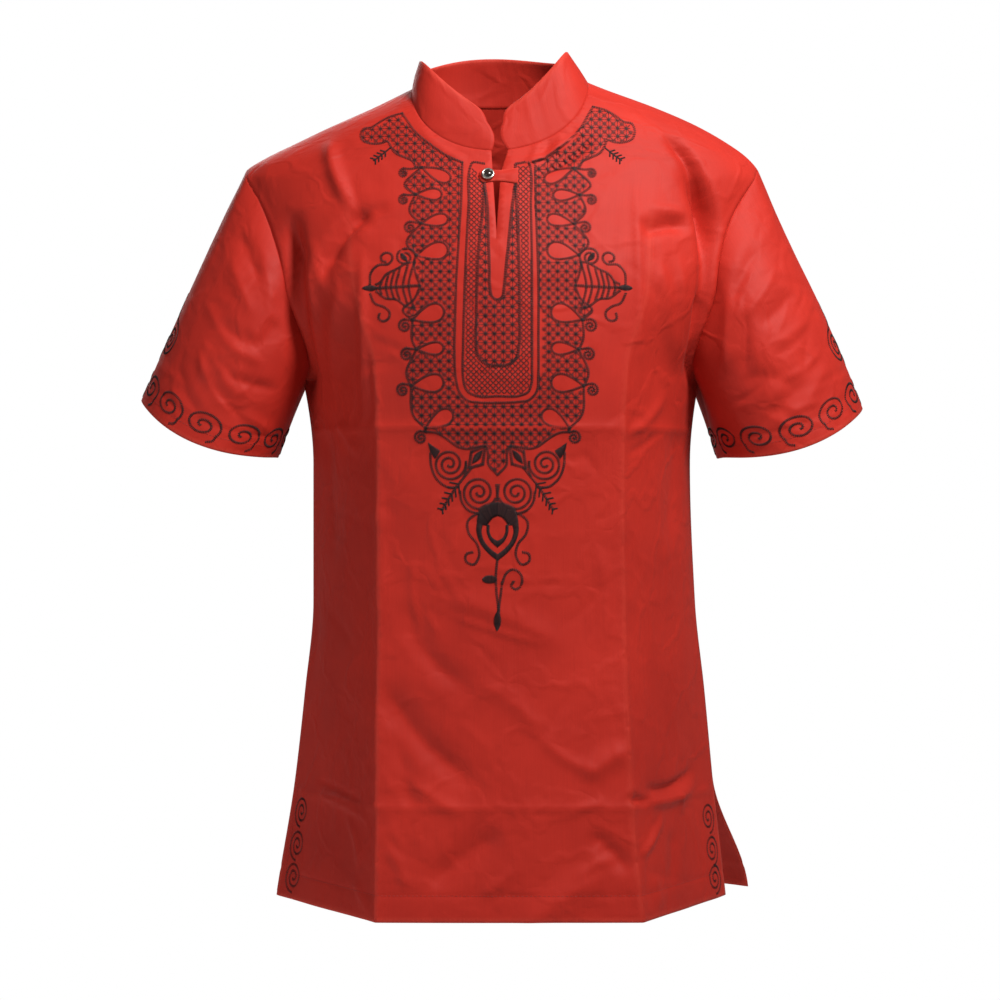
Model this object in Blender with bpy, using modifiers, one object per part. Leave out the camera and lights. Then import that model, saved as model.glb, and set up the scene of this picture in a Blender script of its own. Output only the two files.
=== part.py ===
"""Dashiki shirt, worn and filled out with no wearer.

Units are metres and +Z is up. The front faces -Y, and the wearer's left is at +X.
The origin is midway between the two neck points, where the shoulders hold the shirt.
Heights are given as a drop, the distance below the neck points.
Across a panel, t runs from -1 at the side seam at -X to +1 at the side seam at +X.
"""

import math

import bpy
import numpy as np
from mathutils import Matrix, Vector
from mathutils.geometry import delaunay_2d_cdt

# Cloth and seams
CLOTH = 0.0015
COLLAR_WALL = 0.0020
SEAM_GAP = 0.0003
MITRE_LIMIT = 2.4

# Levels, as drops below the neck points
SHOULDER_TIP = 0.073
ARMPIT = 0.262
VENT_TOP = 0.617
HEM = 0.722

# Pressed creases down the front and the back, and the crown of the cloth between them
CREASE_T = 0.40
FRONT_CROWN = 0.10

# Neckline: side points, depth at the front and at the back
NECK_HALF = 0.0785
NECK_SIDE_RISE = 0.003
NECK_FRONT = -0.065
NECK_FRONT_TILT = 0.10
NECK_BACK_DIP = 0.009
NECK_POWER = 2.3

# Neck slit: x of its two edges and their drop, from the neckline to the point where they meet
SLIT = (
    # right edge, left edge, drop
    (0.0075, -0.0080, 0.0640),
    (0.0010, -0.0068, 0.0860),
    (-0.0010, -0.0050, 0.1150),
    (-0.0030, -0.0030, 0.1470),
)

# Side vents: how far the front edges part from the side at the hem, and each back corner's swing
FRONT_PART = 0.013
BACK_SWING = (
    # sideways, backwards
    (-0.002, 0.013),
    (0.025, 0.036),
)

# Armhole: how far it cuts into the panels, and how square its curve is
ARMHOLE_CUT = 0.32
ARMHOLE_POWER = 0.40
FOLD_FADE = 0.09

# Cross-sections of the body
BODY_RINGS = (
    # drop, half width at -X, half width at +X, front depth, back depth, share of flat facets,
    # crease at -X, crease at +X
    (-0.010, 0.0570, 0.0690, 0.042, 0.056, 0.00, 0.112, 0.112),
    (0.000, 0.0785, 0.0930, 0.050, 0.062, 0.00, 0.112, 0.112),
    (0.018, 0.1155, 0.1420, 0.059, 0.068, 0.00, 0.112, 0.112),
    (0.034, 0.1515, 0.1785, 0.066, 0.073, 0.00, 0.112, 0.112),
    (0.050, 0.1860, 0.2065, 0.071, 0.077, 0.05, 0.112, 0.112),
    (0.062, 0.2110, 0.2225, 0.075, 0.080, 0.05, 0.112, 0.112),
    (0.073, 0.2285, 0.2325, 0.079, 0.083, 0.10, 0.112, 0.112),
    (0.086, 0.2370, 0.2380, 0.085, 0.087, 0.15, 0.112, 0.112),
    (0.120, 0.2370, 0.2350, 0.101, 0.098, 0.25, 0.113, 0.112),
    (0.180, 0.2280, 0.2300, 0.121, 0.111, 0.35, 0.112, 0.112),
    (0.262, 0.1770, 0.1790, 0.130, 0.115, 0.45, 0.110, 0.110),
    (0.337, 0.1680, 0.1710, 0.128, 0.112, 0.55, 0.108, 0.108),
    (0.460, 0.1680, 0.1755, 0.130, 0.112, 0.65, 0.105, 0.107),
    (0.540, 0.1755, 0.1840, 0.137, 0.117, 0.75, 0.104, 0.107),
    (0.620, 0.1845, 0.1915, 0.146, 0.124, 0.85, 0.103, 0.110),
    (0.722, 0.2000, 0.2020, 0.158, 0.135, 0.97, 0.104, 0.120),
)

# Main folds: three points on the fold seen from the front, half width, rise (minus is a trough)
FRONT_FOLDS = (
    # x, z, x, z, x, z, half width, rise
    (-0.179, -0.112, -0.176, -0.195, -0.160, -0.285, 0.014, -0.0130),
    (0.155, -0.070, 0.180, -0.150, 0.162, -0.285, 0.014, -0.0120),
    (-0.160, -0.290, -0.152, -0.360, -0.146, -0.440, 0.018, -0.0040),
    (0.160, -0.290, 0.154, -0.350, 0.150, -0.420, 0.018, -0.0040),
    (-0.066, -0.700, -0.030, -0.668, 0.006, -0.648, 0.020, -0.0070),
    (0.010, -0.735, 0.050, -0.705, 0.094, -0.680, 0.020, 0.0060),
    (0.074, -0.646, 0.093, -0.664, 0.112, -0.684, 0.012, -0.0045),
    (0.070, -0.608, 0.089, -0.590, 0.112, -0.579, 0.012, -0.0040),
    (-0.078, -0.450, -0.055, -0.505, -0.008, -0.532, 0.013, -0.0035),
    (-0.102, -0.518, -0.077, -0.568, -0.060, -0.618, 0.013, -0.0045),
    (-0.055, -0.450, 0.005, -0.468, 0.062, -0.498, 0.026, 0.0040),
    (0.126, -0.136, 0.142, -0.133, 0.160, -0.130, 0.010, -0.0035),
)
BACK_FOLDS = (
    # x, z, x, z, x, z, half width, rise
    (-0.162, -0.105, -0.174, -0.175, -0.160, -0.262, 0.016, -0.0100),
    (0.164, -0.100, 0.176, -0.170, 0.162, -0.265, 0.016, -0.0100),
    (-0.150, -0.300, -0.128, -0.370, -0.092, -0.430, 0.020, -0.0050),
    (0.154, -0.310, 0.122, -0.390, 0.080, -0.440, 0.020, -0.0050),
    (-0.070, -0.480, -0.020, -0.515, 0.050, -0.525, 0.024, 0.0050),
    (-0.080, -0.740, -0.062, -0.660, -0.070, -0.570, 0.022, -0.0060),
    (0.060, -0.740, 0.048, -0.650, 0.066, -0.560, 0.022, -0.0060),
    (-0.010, -0.740, -0.006, -0.680, 0.004, -0.610, 0.026, 0.0050),
)
SLEEVE_FOLDS = {
    -1: (
        # x, z, x, z, x, z, half width, rise
        (-0.232, -0.128, -0.219, -0.156, -0.206, -0.182, 0.013, -0.0050),
        (-0.250, -0.212, -0.231, -0.226, -0.210, -0.240, 0.012, -0.0040),
        (-0.260, -0.258, -0.239, -0.284, -0.218, -0.306, 0.013, -0.0050),
        (-0.216, -0.238, -0.202, -0.226, -0.194, -0.208, 0.012, -0.0040),
    ),
    1: (
        # x, z, x, z, x, z, half width, rise
        (0.232, -0.140, 0.212, -0.172, 0.196, -0.204, 0.013, -0.0050),
        (0.262, -0.182, 0.244, -0.202, 0.222, -0.220, 0.012, -0.0040),
        (0.199, -0.176, 0.198, -0.220, 0.198, -0.266, 0.013, 0.0050),
        (0.270, -0.262, 0.248, -0.284, 0.226, -0.304, 0.013, -0.0040),
    ),
}

# Sleeves: outer and inner point of each cuff, its depth, and how its front and back edges dip
CUFF = {
    # side: outer x, outer z, inner x, inner z
    -1: (0.3215, -0.2790, 0.1990, -0.3310),
    1: (0.3250, -0.2860, 0.1965, -0.3310),
}
CUFF_DEPTH = 0.078
CUFF_FRONT_DIP = 0.015
CUFF_BACK_DIP = 0.006
SLEEVE_FULLNESS = 0.45
SLEEVE_RINGS = 10
ARMHOLE_STEPS = 15

# Stand collar: top edge, lean and the rounding of its front ends
COLLAR_TOP_SHRINK = 0.847
COLLAR_TOP_SHIFT = -0.006
COLLAR_TOP_FRONT = -0.030
COLLAR_TOP_SIDE = 0.0247
COLLAR_TOP_SIDE_TILT = 0.055
COLLAR_TOP_BACK = 0.037
COLLAR_DEPTH_SHRINK = 0.86
COLLAR_TOP_POWER = 1.5
COLLAR_BULGE = 0.0012
COLLAR_ROWS = 5
COLLAR_END_STEPS = 3
COLLAR_NOSE = 0.35
COLLAR_ROUND = 0.018
COLLAR_NOSE_REACH = 0.004
NECK_STEPS_FRONT = 13
NECK_STEPS_BACK = 20

# Button tab and button
TAB_LEFT = -0.0175
TAB_RIGHT = 0.0150
TAB_DROP = 0.0885
TAB_HEIGHT = 0.0135
TAB_THICK = 0.0018
TAB_ROUND = 0.0050
BUTTON_X = -0.0104
BUTTON_STEPS = 24
RIM_PROFILE = (
    # radius, height
    (0.0, 0.0006),
    (0.0036, 0.0006),
    (0.0036, 0.0016),
    (0.0042, 0.0021),
    (0.0051, 0.0019),
    (0.0057, 0.0011),
    (0.0054, 0.0),
    (0.0, 0.0),
)
DOME_PROFILE = (
    # radius, height
    (0.0, 0.0029),
    (0.0014, 0.0027),
    (0.0026, 0.0021),
    (0.0033, 0.0009),
    (0.0, 0.0009),
)

# Mesh spacing on the panels
FRONT_SPACING = 0.0235
BACK_SPACING = 0.0265
FOLD_SPACING = 0.0150
SEAM_SPACING = 0.0190
EDGE_CLEARANCE = 0.0075
FOLD_CLEARANCE = 0.0065
HALF_GIRTH = 0.26
SHOULDER_STRETCH = 2.36

# Finishes
RED_COTTON = (0.42, 0.035, 0.024, 1.0)
DARK_METAL = (0.30, 0.27, 0.24, 1.0)
DARK_HORN = (0.03, 0.018, 0.014, 1.0)


def rows_at(rows, at):
    """Read a table at any value: a monotone cubic through its rows, one column for each value."""
    table = np.asarray(rows, float)
    knots, values = table[:, 0], table[:, 1:]
    step = np.diff(knots)[:, None]
    chord = np.diff(values, axis=0) / step
    turns = chord[:-1] * chord[1:] > 0
    safe = np.where(turns, chord[:-1] + chord[1:], 1.0)
    slope = np.vstack([chord[:1], np.where(turns, 2 * chord[:-1] * chord[1:] / safe, 0.0), chord[-1:]])
    at = np.asarray(at, float)
    k = np.clip(np.searchsorted(knots, at, side="right") - 1, 0, len(knots) - 2)
    u = ((at - knots[k]) / step[k, 0])[..., None]
    h = step[k]
    result = (
        values[k] * (1 + 2 * u) * (1 - u) ** 2
        + values[k + 1] * u * u * (3 - 2 * u)
        + slope[k] * h * u * (1 - u) ** 2
        - slope[k + 1] * h * u * u * (1 - u)
    )
    return np.moveaxis(result, -1, 0)


def smooth(value):
    """Ease from 0 to 1 with level ends."""
    value = np.clip(value, 0.0, 1.0)
    return value * value * (3 - 2 * value)


def unit(vectors):
    return vectors / np.linalg.norm(vectors, axis=-1, keepdims=True)


def fold_line(fold, steps):
    """Points along a fold, on the parabola through its three points."""
    x0, z0, x1, z1, x2, z2 = fold[:6]
    s = np.linspace(0.0, 1.0, steps)[:, None]
    ends = np.array([x0, z0]) * (1 - s) * (1 - 2 * s) + np.array([x2, z2]) * s * (2 * s - 1)
    return ends + np.array([x1, z1]) * 4 * s * (1 - s)


def fold_height(folds, x, z):
    """Sum of the folds at points seen from the front: a cosine ridge that fades at its ends."""
    steps = 33
    height = np.zeros(np.shape(x))
    for fold in folds:
        line = fold_line(fold, steps)
        gap = np.hypot(x[..., None] - line[:, 0], z[..., None] - line[:, 1])
        nearest = np.argmin(gap, axis=-1)
        near = np.min(gap, axis=-1) / fold[6]
        along = nearest / (steps - 1)
        fade = smooth(along / 0.3) * smooth((1 - along) / 0.3)
        height += fold[7] * fade * np.cos(np.pi / 2 * np.minimum(near, 1.0)) ** 2
    return height


def body_base(face, t, drop):
    """The body without folds. face is -1 for the front and 1 for the back.

    Each ring is a blend of an ellipse and of flat facets that meet at the pressed creases.
    """
    t = np.asarray(t, float)
    half_low, half_high, front, back, boxy, crease_low, crease_high = rows_at(BODY_RINGS, drop)
    half = np.where(t < 0, half_low, half_high)
    crease = np.where(t < 0, crease_low, crease_high)
    depth = front if face < 0 else back
    s = np.abs(t)
    flat = np.minimum(s / CREASE_T, 1.0)
    turned = np.maximum(s - CREASE_T, 0.0) / (1 - CREASE_T)
    round_x = half * np.sin(np.pi / 2 * s)
    round_y = depth * np.cos(np.pi / 2 * s)
    facet_x = crease * flat + (half - crease) * turned
    facet_y = depth * (1 - FRONT_CROWN * (1 - boxy) * flat**2) * (1 - turned)
    x = np.sign(t) * ((1 - boxy) * round_x + boxy * facet_x)
    y = face * ((1 - boxy) * round_y + boxy * facet_y)
    opened = smooth((drop - VENT_TOP) / (HEM - VENT_TOP))
    if face < 0:
        y = y - FRONT_PART * opened * turned
    else:
        low_swing, high_swing = BACK_SWING
        x = x + np.where(t < 0, low_swing[0], high_swing[0]) * opened * turned
        y = y + np.where(t < 0, low_swing[1], high_swing[1]) * opened * turned
    return np.stack([x, y, -np.asarray(drop, float) + 0 * t], axis=-1)


def normals_of(surface, face, t, drop):
    """Outward unit normals, from small steps along t and down the panel."""
    step_t, step_drop = 1e-3, 2e-4
    across = surface(face, t + step_t, drop) - surface(face, t - step_t, drop)
    down = surface(face, t, drop + step_drop) - surface(face, t, drop - step_drop)
    return unit(np.cross(across, down)) * face


def armhole_cut(drop):
    """How far the armhole cuts into a panel at a drop, as a share of t: a squared-up arch."""
    share = np.clip((drop - SHOULDER_TIP) / (ARMPIT - SHOULDER_TIP), 0.0, 1.0)
    return ARMHOLE_CUT * np.maximum(np.sin(np.pi * share), 0.0) ** ARMHOLE_POWER


def body(face, t, drop):
    """The body with its folds, which die away at the armholes and the side seams."""
    base = body_base(face, t, drop)
    folds = FRONT_FOLDS if face < 0 else BACK_FOLDS
    fade = smooth((1 - armhole_cut(drop) - np.abs(t)) / FOLD_FADE)
    rise = fold_height(folds, base[..., 0], base[..., 2]) * fade
    return base + normals_of(body_base, face, t, drop) * rise[..., None]


def t_at(face, x, drop):
    """The place t across a panel where its base surface has the given x."""
    grid = np.linspace(-1.0, 1.0, 801)
    places = []
    for one_x, one_drop in zip(np.atleast_1d(x), np.atleast_1d(drop)):
        across = body_base(face, grid, np.full(grid.shape, one_drop))[:, 0]
        places.append(np.interp(one_x, across, grid))
    return np.array(places)


def pattern(t, drop):
    """Pattern place of a point, near enough true lengths to space the mesh evenly."""
    above = np.minimum(drop, SHOULDER_TIP) * SHOULDER_STRETCH
    below = np.maximum(drop - SHOULDER_TIP, 0.0)
    return np.stack([np.asarray(t) * HALF_GIRTH, above + below], axis=-1)


def from_pattern(places):
    """The inverse of pattern: t and drop."""
    t = places[:, 0] / HALF_GIRTH
    knee = SHOULDER_TIP * SHOULDER_STRETCH
    drop = np.where(places[:, 1] < knee, places[:, 1] / SHOULDER_STRETCH, places[:, 1] - knee + SHOULDER_TIP)
    return t, drop


def neck_side_drop(side):
    """Drop of a neck point: the one at +X sits a little higher."""
    return -NECK_SIDE_RISE * (1 + side)


def neck_front(side):
    """Front neckline from the slit to a neck point: a squarish quarter ellipse, as t and drop.

    Its points are evenly spaced along the cloth.
    """
    slit_x = SLIT[0][0] if side > 0 else -SLIT[0][1]
    start = math.asin((slit_x / NECK_HALF) ** (NECK_POWER / 2))
    angle = np.linspace(start, math.pi / 2, 181)
    x = side * NECK_HALF * np.sin(angle) ** (2 / NECK_POWER)
    rise = NECK_SIDE_RISE * (1 + x / NECK_HALF)
    bottom = NECK_FRONT + NECK_FRONT_TILT * np.maximum(x, 0.0)
    z = rise + (bottom - rise) * np.maximum(np.cos(angle), 0.0) ** (2 / NECK_POWER)
    t = t_at(-1, x, -z)
    t[-1] = side
    line = body_base(-1, t, -z)
    length = np.concatenate([[0.0], np.cumsum(np.linalg.norm(np.diff(line, axis=0), axis=1))])
    place = np.linspace(0.0, length[-1], NECK_STEPS_FRONT + 1)
    return np.interp(place, length, t), np.interp(place, length, -z)


def neck_back():
    """Back neckline from the neck point at -X to the one at +X, as t and drop."""
    t = np.linspace(-1.0, 1.0, NECK_STEPS_BACK + 1)
    drop = -NECK_SIDE_RISE * (1 + t) + NECK_BACK_DIP * np.cos(np.pi / 2 * t)
    return t, drop


def armhole(side, angle):
    """Armhole edge of a panel, as t and drop: angle 0 is the shoulder tip, pi the armpit."""
    drop = SHOULDER_TIP + (1 - np.cos(angle)) / 2 * (ARMPIT - SHOULDER_TIP)
    return side * (1 - armhole_cut(drop)), drop


def sleeve_grid(side):
    """Rings from the armhole to the cuff, each from the shoulder round the front and the back.

    Each line down the sleeve is a cubic that leaves the armhole full and ends along the sleeve.
    """
    angle = np.linspace(0.0, 2 * math.pi, 2 * ARMHOLE_STEPS, endpoint=False)
    t, drop = armhole(side, angle)
    start = np.where((angle <= math.pi)[:, None], body(-1, t, drop), body(1, t, drop))
    start[[0, ARMHOLE_STEPS], 1] = 0.0
    outer_x, outer_z, inner_x, inner_z = CUFF[side]
    outer = np.array([side * outer_x, 0.0, outer_z])
    inner = np.array([side * inner_x, 0.0, inner_z])
    across = (outer - inner) / 2
    along = unit(np.array([side * across[2], 0.0, -abs(across[0])]))
    front = np.maximum(np.sin(angle), 0.0)[:, None]
    back = np.maximum(-np.sin(angle), 0.0)[:, None]
    cuff = (outer + inner) / 2 + np.cos(angle)[:, None] * across
    cuff = cuff + np.array([0.0, -CUFF_DEPTH, 0.0]) * np.sin(angle)[:, None]
    cuff = cuff + along * (CUFF_FRONT_DIP * front**2 + CUFF_BACK_DIP * back**2)
    length = np.linalg.norm(cuff - start, axis=1)[:, None]
    forward = np.array([0.0, -1.0, 0.0]) * np.sin(angle)[:, None]
    leave = unit(unit(cuff - start) + SLEEVE_FULLNESS * forward) * length
    arrive = unit(unit(cuff - start) + along) * length
    v = np.linspace(0.0, 1.0, SLEEVE_RINGS + 1)[:, None, None]
    rings = (
        start * (1 + 2 * v) * (1 - v) ** 2
        + cuff * v * v * (3 - 2 * v)
        + leave * v * (1 - v) ** 2
        - arrive * v * v * (1 - v)
    )
    fade = np.sin(np.pi / 2 * smooth(v[:, :, 0] / 0.2)) * np.minimum(np.abs(np.sin(angle)) * 2, 1.0)
    rise = fold_height(SLEEVE_FOLDS[side], rings[..., 0], rings[..., 2]) * fade
    return rings + grid_normals(rings, -side) * rise[..., None]


def grid_normals(rings, turn, closed=True):
    """Normals of a grid of points, row by row: turn is 1 or -1, whichever makes them outward."""
    down = np.gradient(rings, axis=0)
    if closed:
        around = np.roll(rings, -1, axis=1) - np.roll(rings, 1, axis=1)
    else:
        around = np.gradient(rings, axis=1)
    return unit(np.cross(down, around)) * turn


def mitre(first, second):
    """The direction that halves two walls' normals at their seam."""
    return unit(first + second)


def inward(middle, normal, thickness):
    """From an outer seam point to the inner one, so that the wall keeps its thickness."""
    lean = np.maximum(np.sum(middle * normal, axis=-1, keepdims=True), 1 / MITRE_LIMIT)
    return -middle * thickness / lean


def spaced(start, stop, spacing):
    """Even values from start to stop, no further apart than the spacing."""
    count = max(1, round(abs(stop - start) / spacing))
    return np.linspace(start, stop, count + 1)


def pin_to_side_plane(vectors, t):
    """Seam vectors stay in the plane where front and back meet."""
    vectors = vectors.copy()
    vectors[np.abs(t) > 0.9999, 1] = 0.0
    return unit(vectors)


def neck_seam(face, t, drop, collar_normals):
    """Halving direction along the neckline, shared by panel and collar."""
    panel_normals = pin_to_side_plane(normals_of(body, face, t, drop), t)
    return pin_to_side_plane(mitre(panel_normals, collar_normals), t)


def collar_grid():
    """The stand collar's outer surface, from the slit's edge at -X round the back to the one at +X.

    Also gives, for each point of its foot, the panel face, t and drop that it stands on.
    """
    low_t, low_drop = neck_front(-1)
    high_t, high_drop = neck_front(1)
    back_t, back_drop = neck_back()
    t = np.concatenate([low_t, back_t[1:-1], high_t[::-1]])
    drop = np.concatenate([low_drop, back_drop[1:-1], high_drop[::-1]])
    on_front = np.ones(len(t), bool)
    on_front[len(low_t):len(low_t) + len(back_t) - 2] = False
    foot = np.where(on_front[:, None], body(-1, t, drop), body(1, t, drop))
    foot[[len(low_t) - 1, len(t) - len(high_t)], 1] = 0.0
    top_x = COLLAR_TOP_SHIFT + COLLAR_TOP_SHRINK * foot[:, 0]
    top_y = COLLAR_DEPTH_SHRINK * foot[:, 1]
    reach = np.minimum(np.abs(foot[:, 0]) / NECK_HALF, 1.0)
    side_z = COLLAR_TOP_SIDE + COLLAR_TOP_SIDE_TILT * foot[:, 0]
    front_z = COLLAR_TOP_FRONT + (side_z - COLLAR_TOP_FRONT) * reach**COLLAR_TOP_POWER
    back_z = side_z + (COLLAR_TOP_BACK - side_z) * (1 - reach**2)
    top = np.stack([top_x, top_y, np.where(on_front, front_z, back_z)], axis=-1)
    h = np.linspace(0.0, 1.0, COLLAR_ROWS + 1)[:, None, None]
    rows = foot + (top - foot) * h
    away = unit(foot * np.array([1.0, 1.0, 0.0]))
    rows = rows + away * COLLAR_BULGE * np.sin(np.pi * h)
    return round_ends(rows, h[:, 0, 0]), on_front, t, drop


def round_ends(rows, h):
    """Slide the first and last columns along the collar so that its front corners are round.

    Below the nose the end reaches forward, above it a quarter ellipse takes it back.
    """
    rows = rows.copy()
    count = rows.shape[1]
    for k, height in enumerate(h):
        above = max(height - COLLAR_NOSE, 0.0) / (1 - COLLAR_NOSE)
        cut = COLLAR_ROUND * (1 - math.sqrt(max(1 - above**2, 0.0)))
        cut -= COLLAR_NOSE_REACH * math.sin(math.pi * min(height / (2 * COLLAR_NOSE), 1.0))
        line = rows[k]
        along = np.concatenate([[0.0], np.cumsum(np.linalg.norm(np.diff(line, axis=0), axis=1))])
        total = along[-1]
        place = along.copy()
        for end, inner in ((0, 1), (count - 1, -1)):
            cols = [end + inner * n for n in range(COLLAR_END_STEPS + 1)]
            span = abs(along[cols[-1]] - along[end])
            for n, col in enumerate(cols[:-1]):
                share = n / COLLAR_END_STEPS
                moved = cut + (span - cut) * share
                place[col] = moved if inner > 0 else total - moved
        fresh = np.stack([np.interp(place, along, line[:, axis]) for axis in range(3)], axis=-1)
        for col, inner in ((0, 1), (count - 1, -1)):
            ahead = place[0] if inner > 0 else total - place[-1]
            if ahead < 0:
                direction = unit(line[col] - line[col + inner])
                fresh[col] = line[col] - direction * ahead
        rows[k] = fresh
    return rows


def panel_outline(face):
    """A panel's cut edge in t and drop, with the name of the seam that each point lies on."""
    edge = []

    def add(t, drop, seam):
        for one_t, one_drop in zip(np.broadcast_to(t, np.shape(drop)), drop):
            edge.append((float(one_t), float(one_drop), seam))

    if face < 0:
        t, drop = neck_front(1)
        add(t, drop, "neck")
    else:
        t, drop = neck_back()
        add(t, drop, "neck")
    for side in (1, -1):
        neck_drop = neck_side_drop(side)
        shoulder = spaced(neck_drop, SHOULDER_TIP, SEAM_SPACING / SHOULDER_STRETCH)
        angle = np.linspace(0.0, math.pi, ARMHOLE_STEPS + 1)
        arm_t, arm_drop = armhole(side, angle)
        side_seam = spaced(ARMPIT, VENT_TOP, SEAM_SPACING)
        vent = spaced(VENT_TOP, HEM, SEAM_SPACING)
        run = [(side, d, "shoulder") for d in shoulder[1:-1]]
        run += [(a, d, "armhole") for a, d in zip(arm_t, arm_drop)]
        run += [(side, d, "side") for d in side_seam[1:]]
        run += [(side, d, "hem") for d in vent[1:]]
        if side < 0:
            run = run[::-1]
        else:
            spacing = FRONT_SPACING if face < 0 else BACK_SPACING
            hem = hem_places(spacing)
            run += [(t_hem, HEM, "hem") for t_hem in hem[1:-1]]
        edge += run
    if face < 0:
        t, drop = neck_front(-1)
        add(t[::-1], drop[::-1], "neck")
        edge += slit_edge()
    return edge


def hem_places(spacing):
    """Places across the panel, from +X to -X, with one on each pressed crease."""
    flat = spaced(0.0, CREASE_T, spacing / HALF_GIRTH)
    turned = spaced(CREASE_T, 1.0, spacing / HALF_GIRTH)
    half = np.concatenate([flat, turned[1:]])
    return np.concatenate([half[::-1], -half[1:]])


def slit_edge():
    """Down the slit's edge at -X and up the one at +X, without its ends on the neckline."""
    rows = np.asarray(SLIT)
    down = spaced(rows[0, 2], rows[-1, 2], 0.012)[1:]
    low = np.interp(down, rows[:, 2], rows[:, 1])
    high = np.interp(down, rows[:, 2], rows[:, 0])
    points = list(zip(t_at(-1, low, down), down)) + list(zip(t_at(-1, high, down)[-2::-1], down[-2::-1]))
    return [(float(t), float(d), "slit") for t, d in points]


def panel_points(face, outline):
    """Mesh points inside a panel: even rows and columns, and closer points along each fold."""
    spacing = FRONT_SPACING if face < 0 else BACK_SPACING
    folds = FRONT_FOLDS if face < 0 else BACK_FOLDS
    fine = []
    for fold in folds:
        length = np.sum(np.linalg.norm(np.diff(fold_line(fold, 9), axis=0), axis=1))
        line = fold_line(fold, max(3, round(length / FOLD_SPACING)))
        aside = unit(np.gradient(line, axis=0))[:, ::-1] * np.array([1.0, -1.0])
        for share in (-1.0, -0.5, 0.0, 0.5, 1.0):
            place = line + aside * share * fold[6]
            t = t_at(face, place[:, 0], -place[:, 1])
            fine.append(pattern(t, -place[:, 1]))
    fine = thin_out(np.concatenate(fine), FOLD_CLEARANCE)
    columns = hem_places(spacing) * HALF_GIRTH
    low = pattern(0.0, -0.010)[1]
    high = pattern(0.0, HEM)[1]
    rows = spaced(low, high, spacing)
    grid = np.stack(np.meshgrid(columns, rows), axis=-1).reshape(-1, 2)
    gap = np.min(np.linalg.norm(grid[:, None] - fine[None], axis=2), axis=1)
    points = np.concatenate([grid[gap > 0.45 * spacing], fine])
    border = pattern(outline[:, 0], outline[:, 1])
    return points[inside(points, border) & (gap_to_edge(points, border) > EDGE_CLEARANCE)]


def gap_to_edge(points, border):
    """Distance from each point to the nearest side of the closed outline."""
    start = border[None]
    side = np.roll(border, -1, axis=0)[None] - start
    from_start = points[:, None] - start
    share = np.sum(from_start * side, axis=2) / np.sum(side * side, axis=2)
    away = from_start - np.clip(share, 0.0, 1.0)[..., None] * side
    return np.min(np.linalg.norm(away, axis=2), axis=1)


def inside(points, border):
    """Whether each point is inside the outline, by counting the sides that a level ray crosses."""
    x, y = points[:, 0, None], points[:, 1, None]
    x0, y0 = border[:, 0], border[:, 1]
    x1, y1 = np.roll(x0, -1), np.roll(y0, -1)
    spans = (y0 > y) != (y1 > y)
    height = np.where(y1 == y0, 1.0, y1 - y0)
    crossing = x0 + (y - y0) * (x1 - x0) / height
    return np.sum(spans & (x < crossing), axis=1) % 2 == 1


def thin_out(points, spacing):
    """Drop each point that lies too close to an earlier one."""
    kept = []
    for point in points:
        if all(math.hypot(point[0] - x, point[1] - y) > spacing for x, y in kept):
            kept.append((float(point[0]), float(point[1])))
    return np.array(kept)


def fill_outline(outline, inside):
    """Triangles between the cut edge and the points inside it, and which edge point each is."""
    border = pattern(outline[:, 0], outline[:, 1])
    places = [Vector(place) for place in np.concatenate([border, inside]).tolist()]
    count = len(border)
    edges = [(k, (k + 1) % count) for k in range(count)]
    only_inside = 1
    verts, _, faces, origins, _, _ = delaunay_2d_cdt(places, edges, [], only_inside, 1e-7)
    on_edge = [next((k for k in origin if k < count), -1) for origin in origins]
    return np.array([tuple(v) for v in verts]), faces, np.array(on_edge)


def add_object(name, mesh, material, collection):
    mesh.materials.append(material)
    made = bpy.data.objects.new(name, mesh)
    collection.objects.link(made)
    return made


def walled(name, outer, inner, faces, material, collection):
    """A closed wall: outer faces, the same faces turned over inside, and a rim on open edges."""
    count = len(outer)
    faces = [tuple(face) for face in faces]
    directed = {(face[k], face[(k + 1) % len(face)]) for face in faces for k in range(len(face))}
    rim = [(b, a, a + count, b + count) for a, b in directed if (b, a) not in directed]
    under = [tuple(k + count for k in reversed(face)) for face in faces]
    mesh = bpy.data.meshes.new(name)
    mesh.from_pydata(np.concatenate([outer, inner]).tolist(), [], faces + under + sorted(rim))
    mesh.shade_smooth()
    mesh.set_sharp_from_angle(angle=math.radians(40))
    return add_object(name, mesh, material, collection)


def turned_faces(points, faces, normals):
    """The faces, all wound so that they point along the normals."""
    result = []
    for face in faces:
        a, b, c = (points[k] for k in face[:3])
        ahead = np.dot(np.cross(b - a, c - a), normals[list(face)].sum(axis=0)) > 0
        result.append(tuple(face) if ahead else tuple(reversed(face)))
    return result


def mesh_normals(points, faces):
    """Point normals: the mean of the faces round each point, weighted by their angle there."""
    faces = np.asarray(faces)
    corners = points[faces]
    flat = unit(np.cross(corners[:, 1] - corners[:, 0], corners[:, 2] - corners[:, 0]))
    normals = np.zeros_like(points)
    for k in range(3):
        ahead = unit(corners[:, (k + 1) % 3] - corners[:, k])
        behind = unit(corners[:, (k + 2) % 3] - corners[:, k])
        angle = np.arccos(np.clip(np.sum(ahead * behind, axis=1), -1.0, 1.0))
        np.add.at(normals, faces[:, k], flat * angle[:, None])
    return unit(normals)


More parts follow.
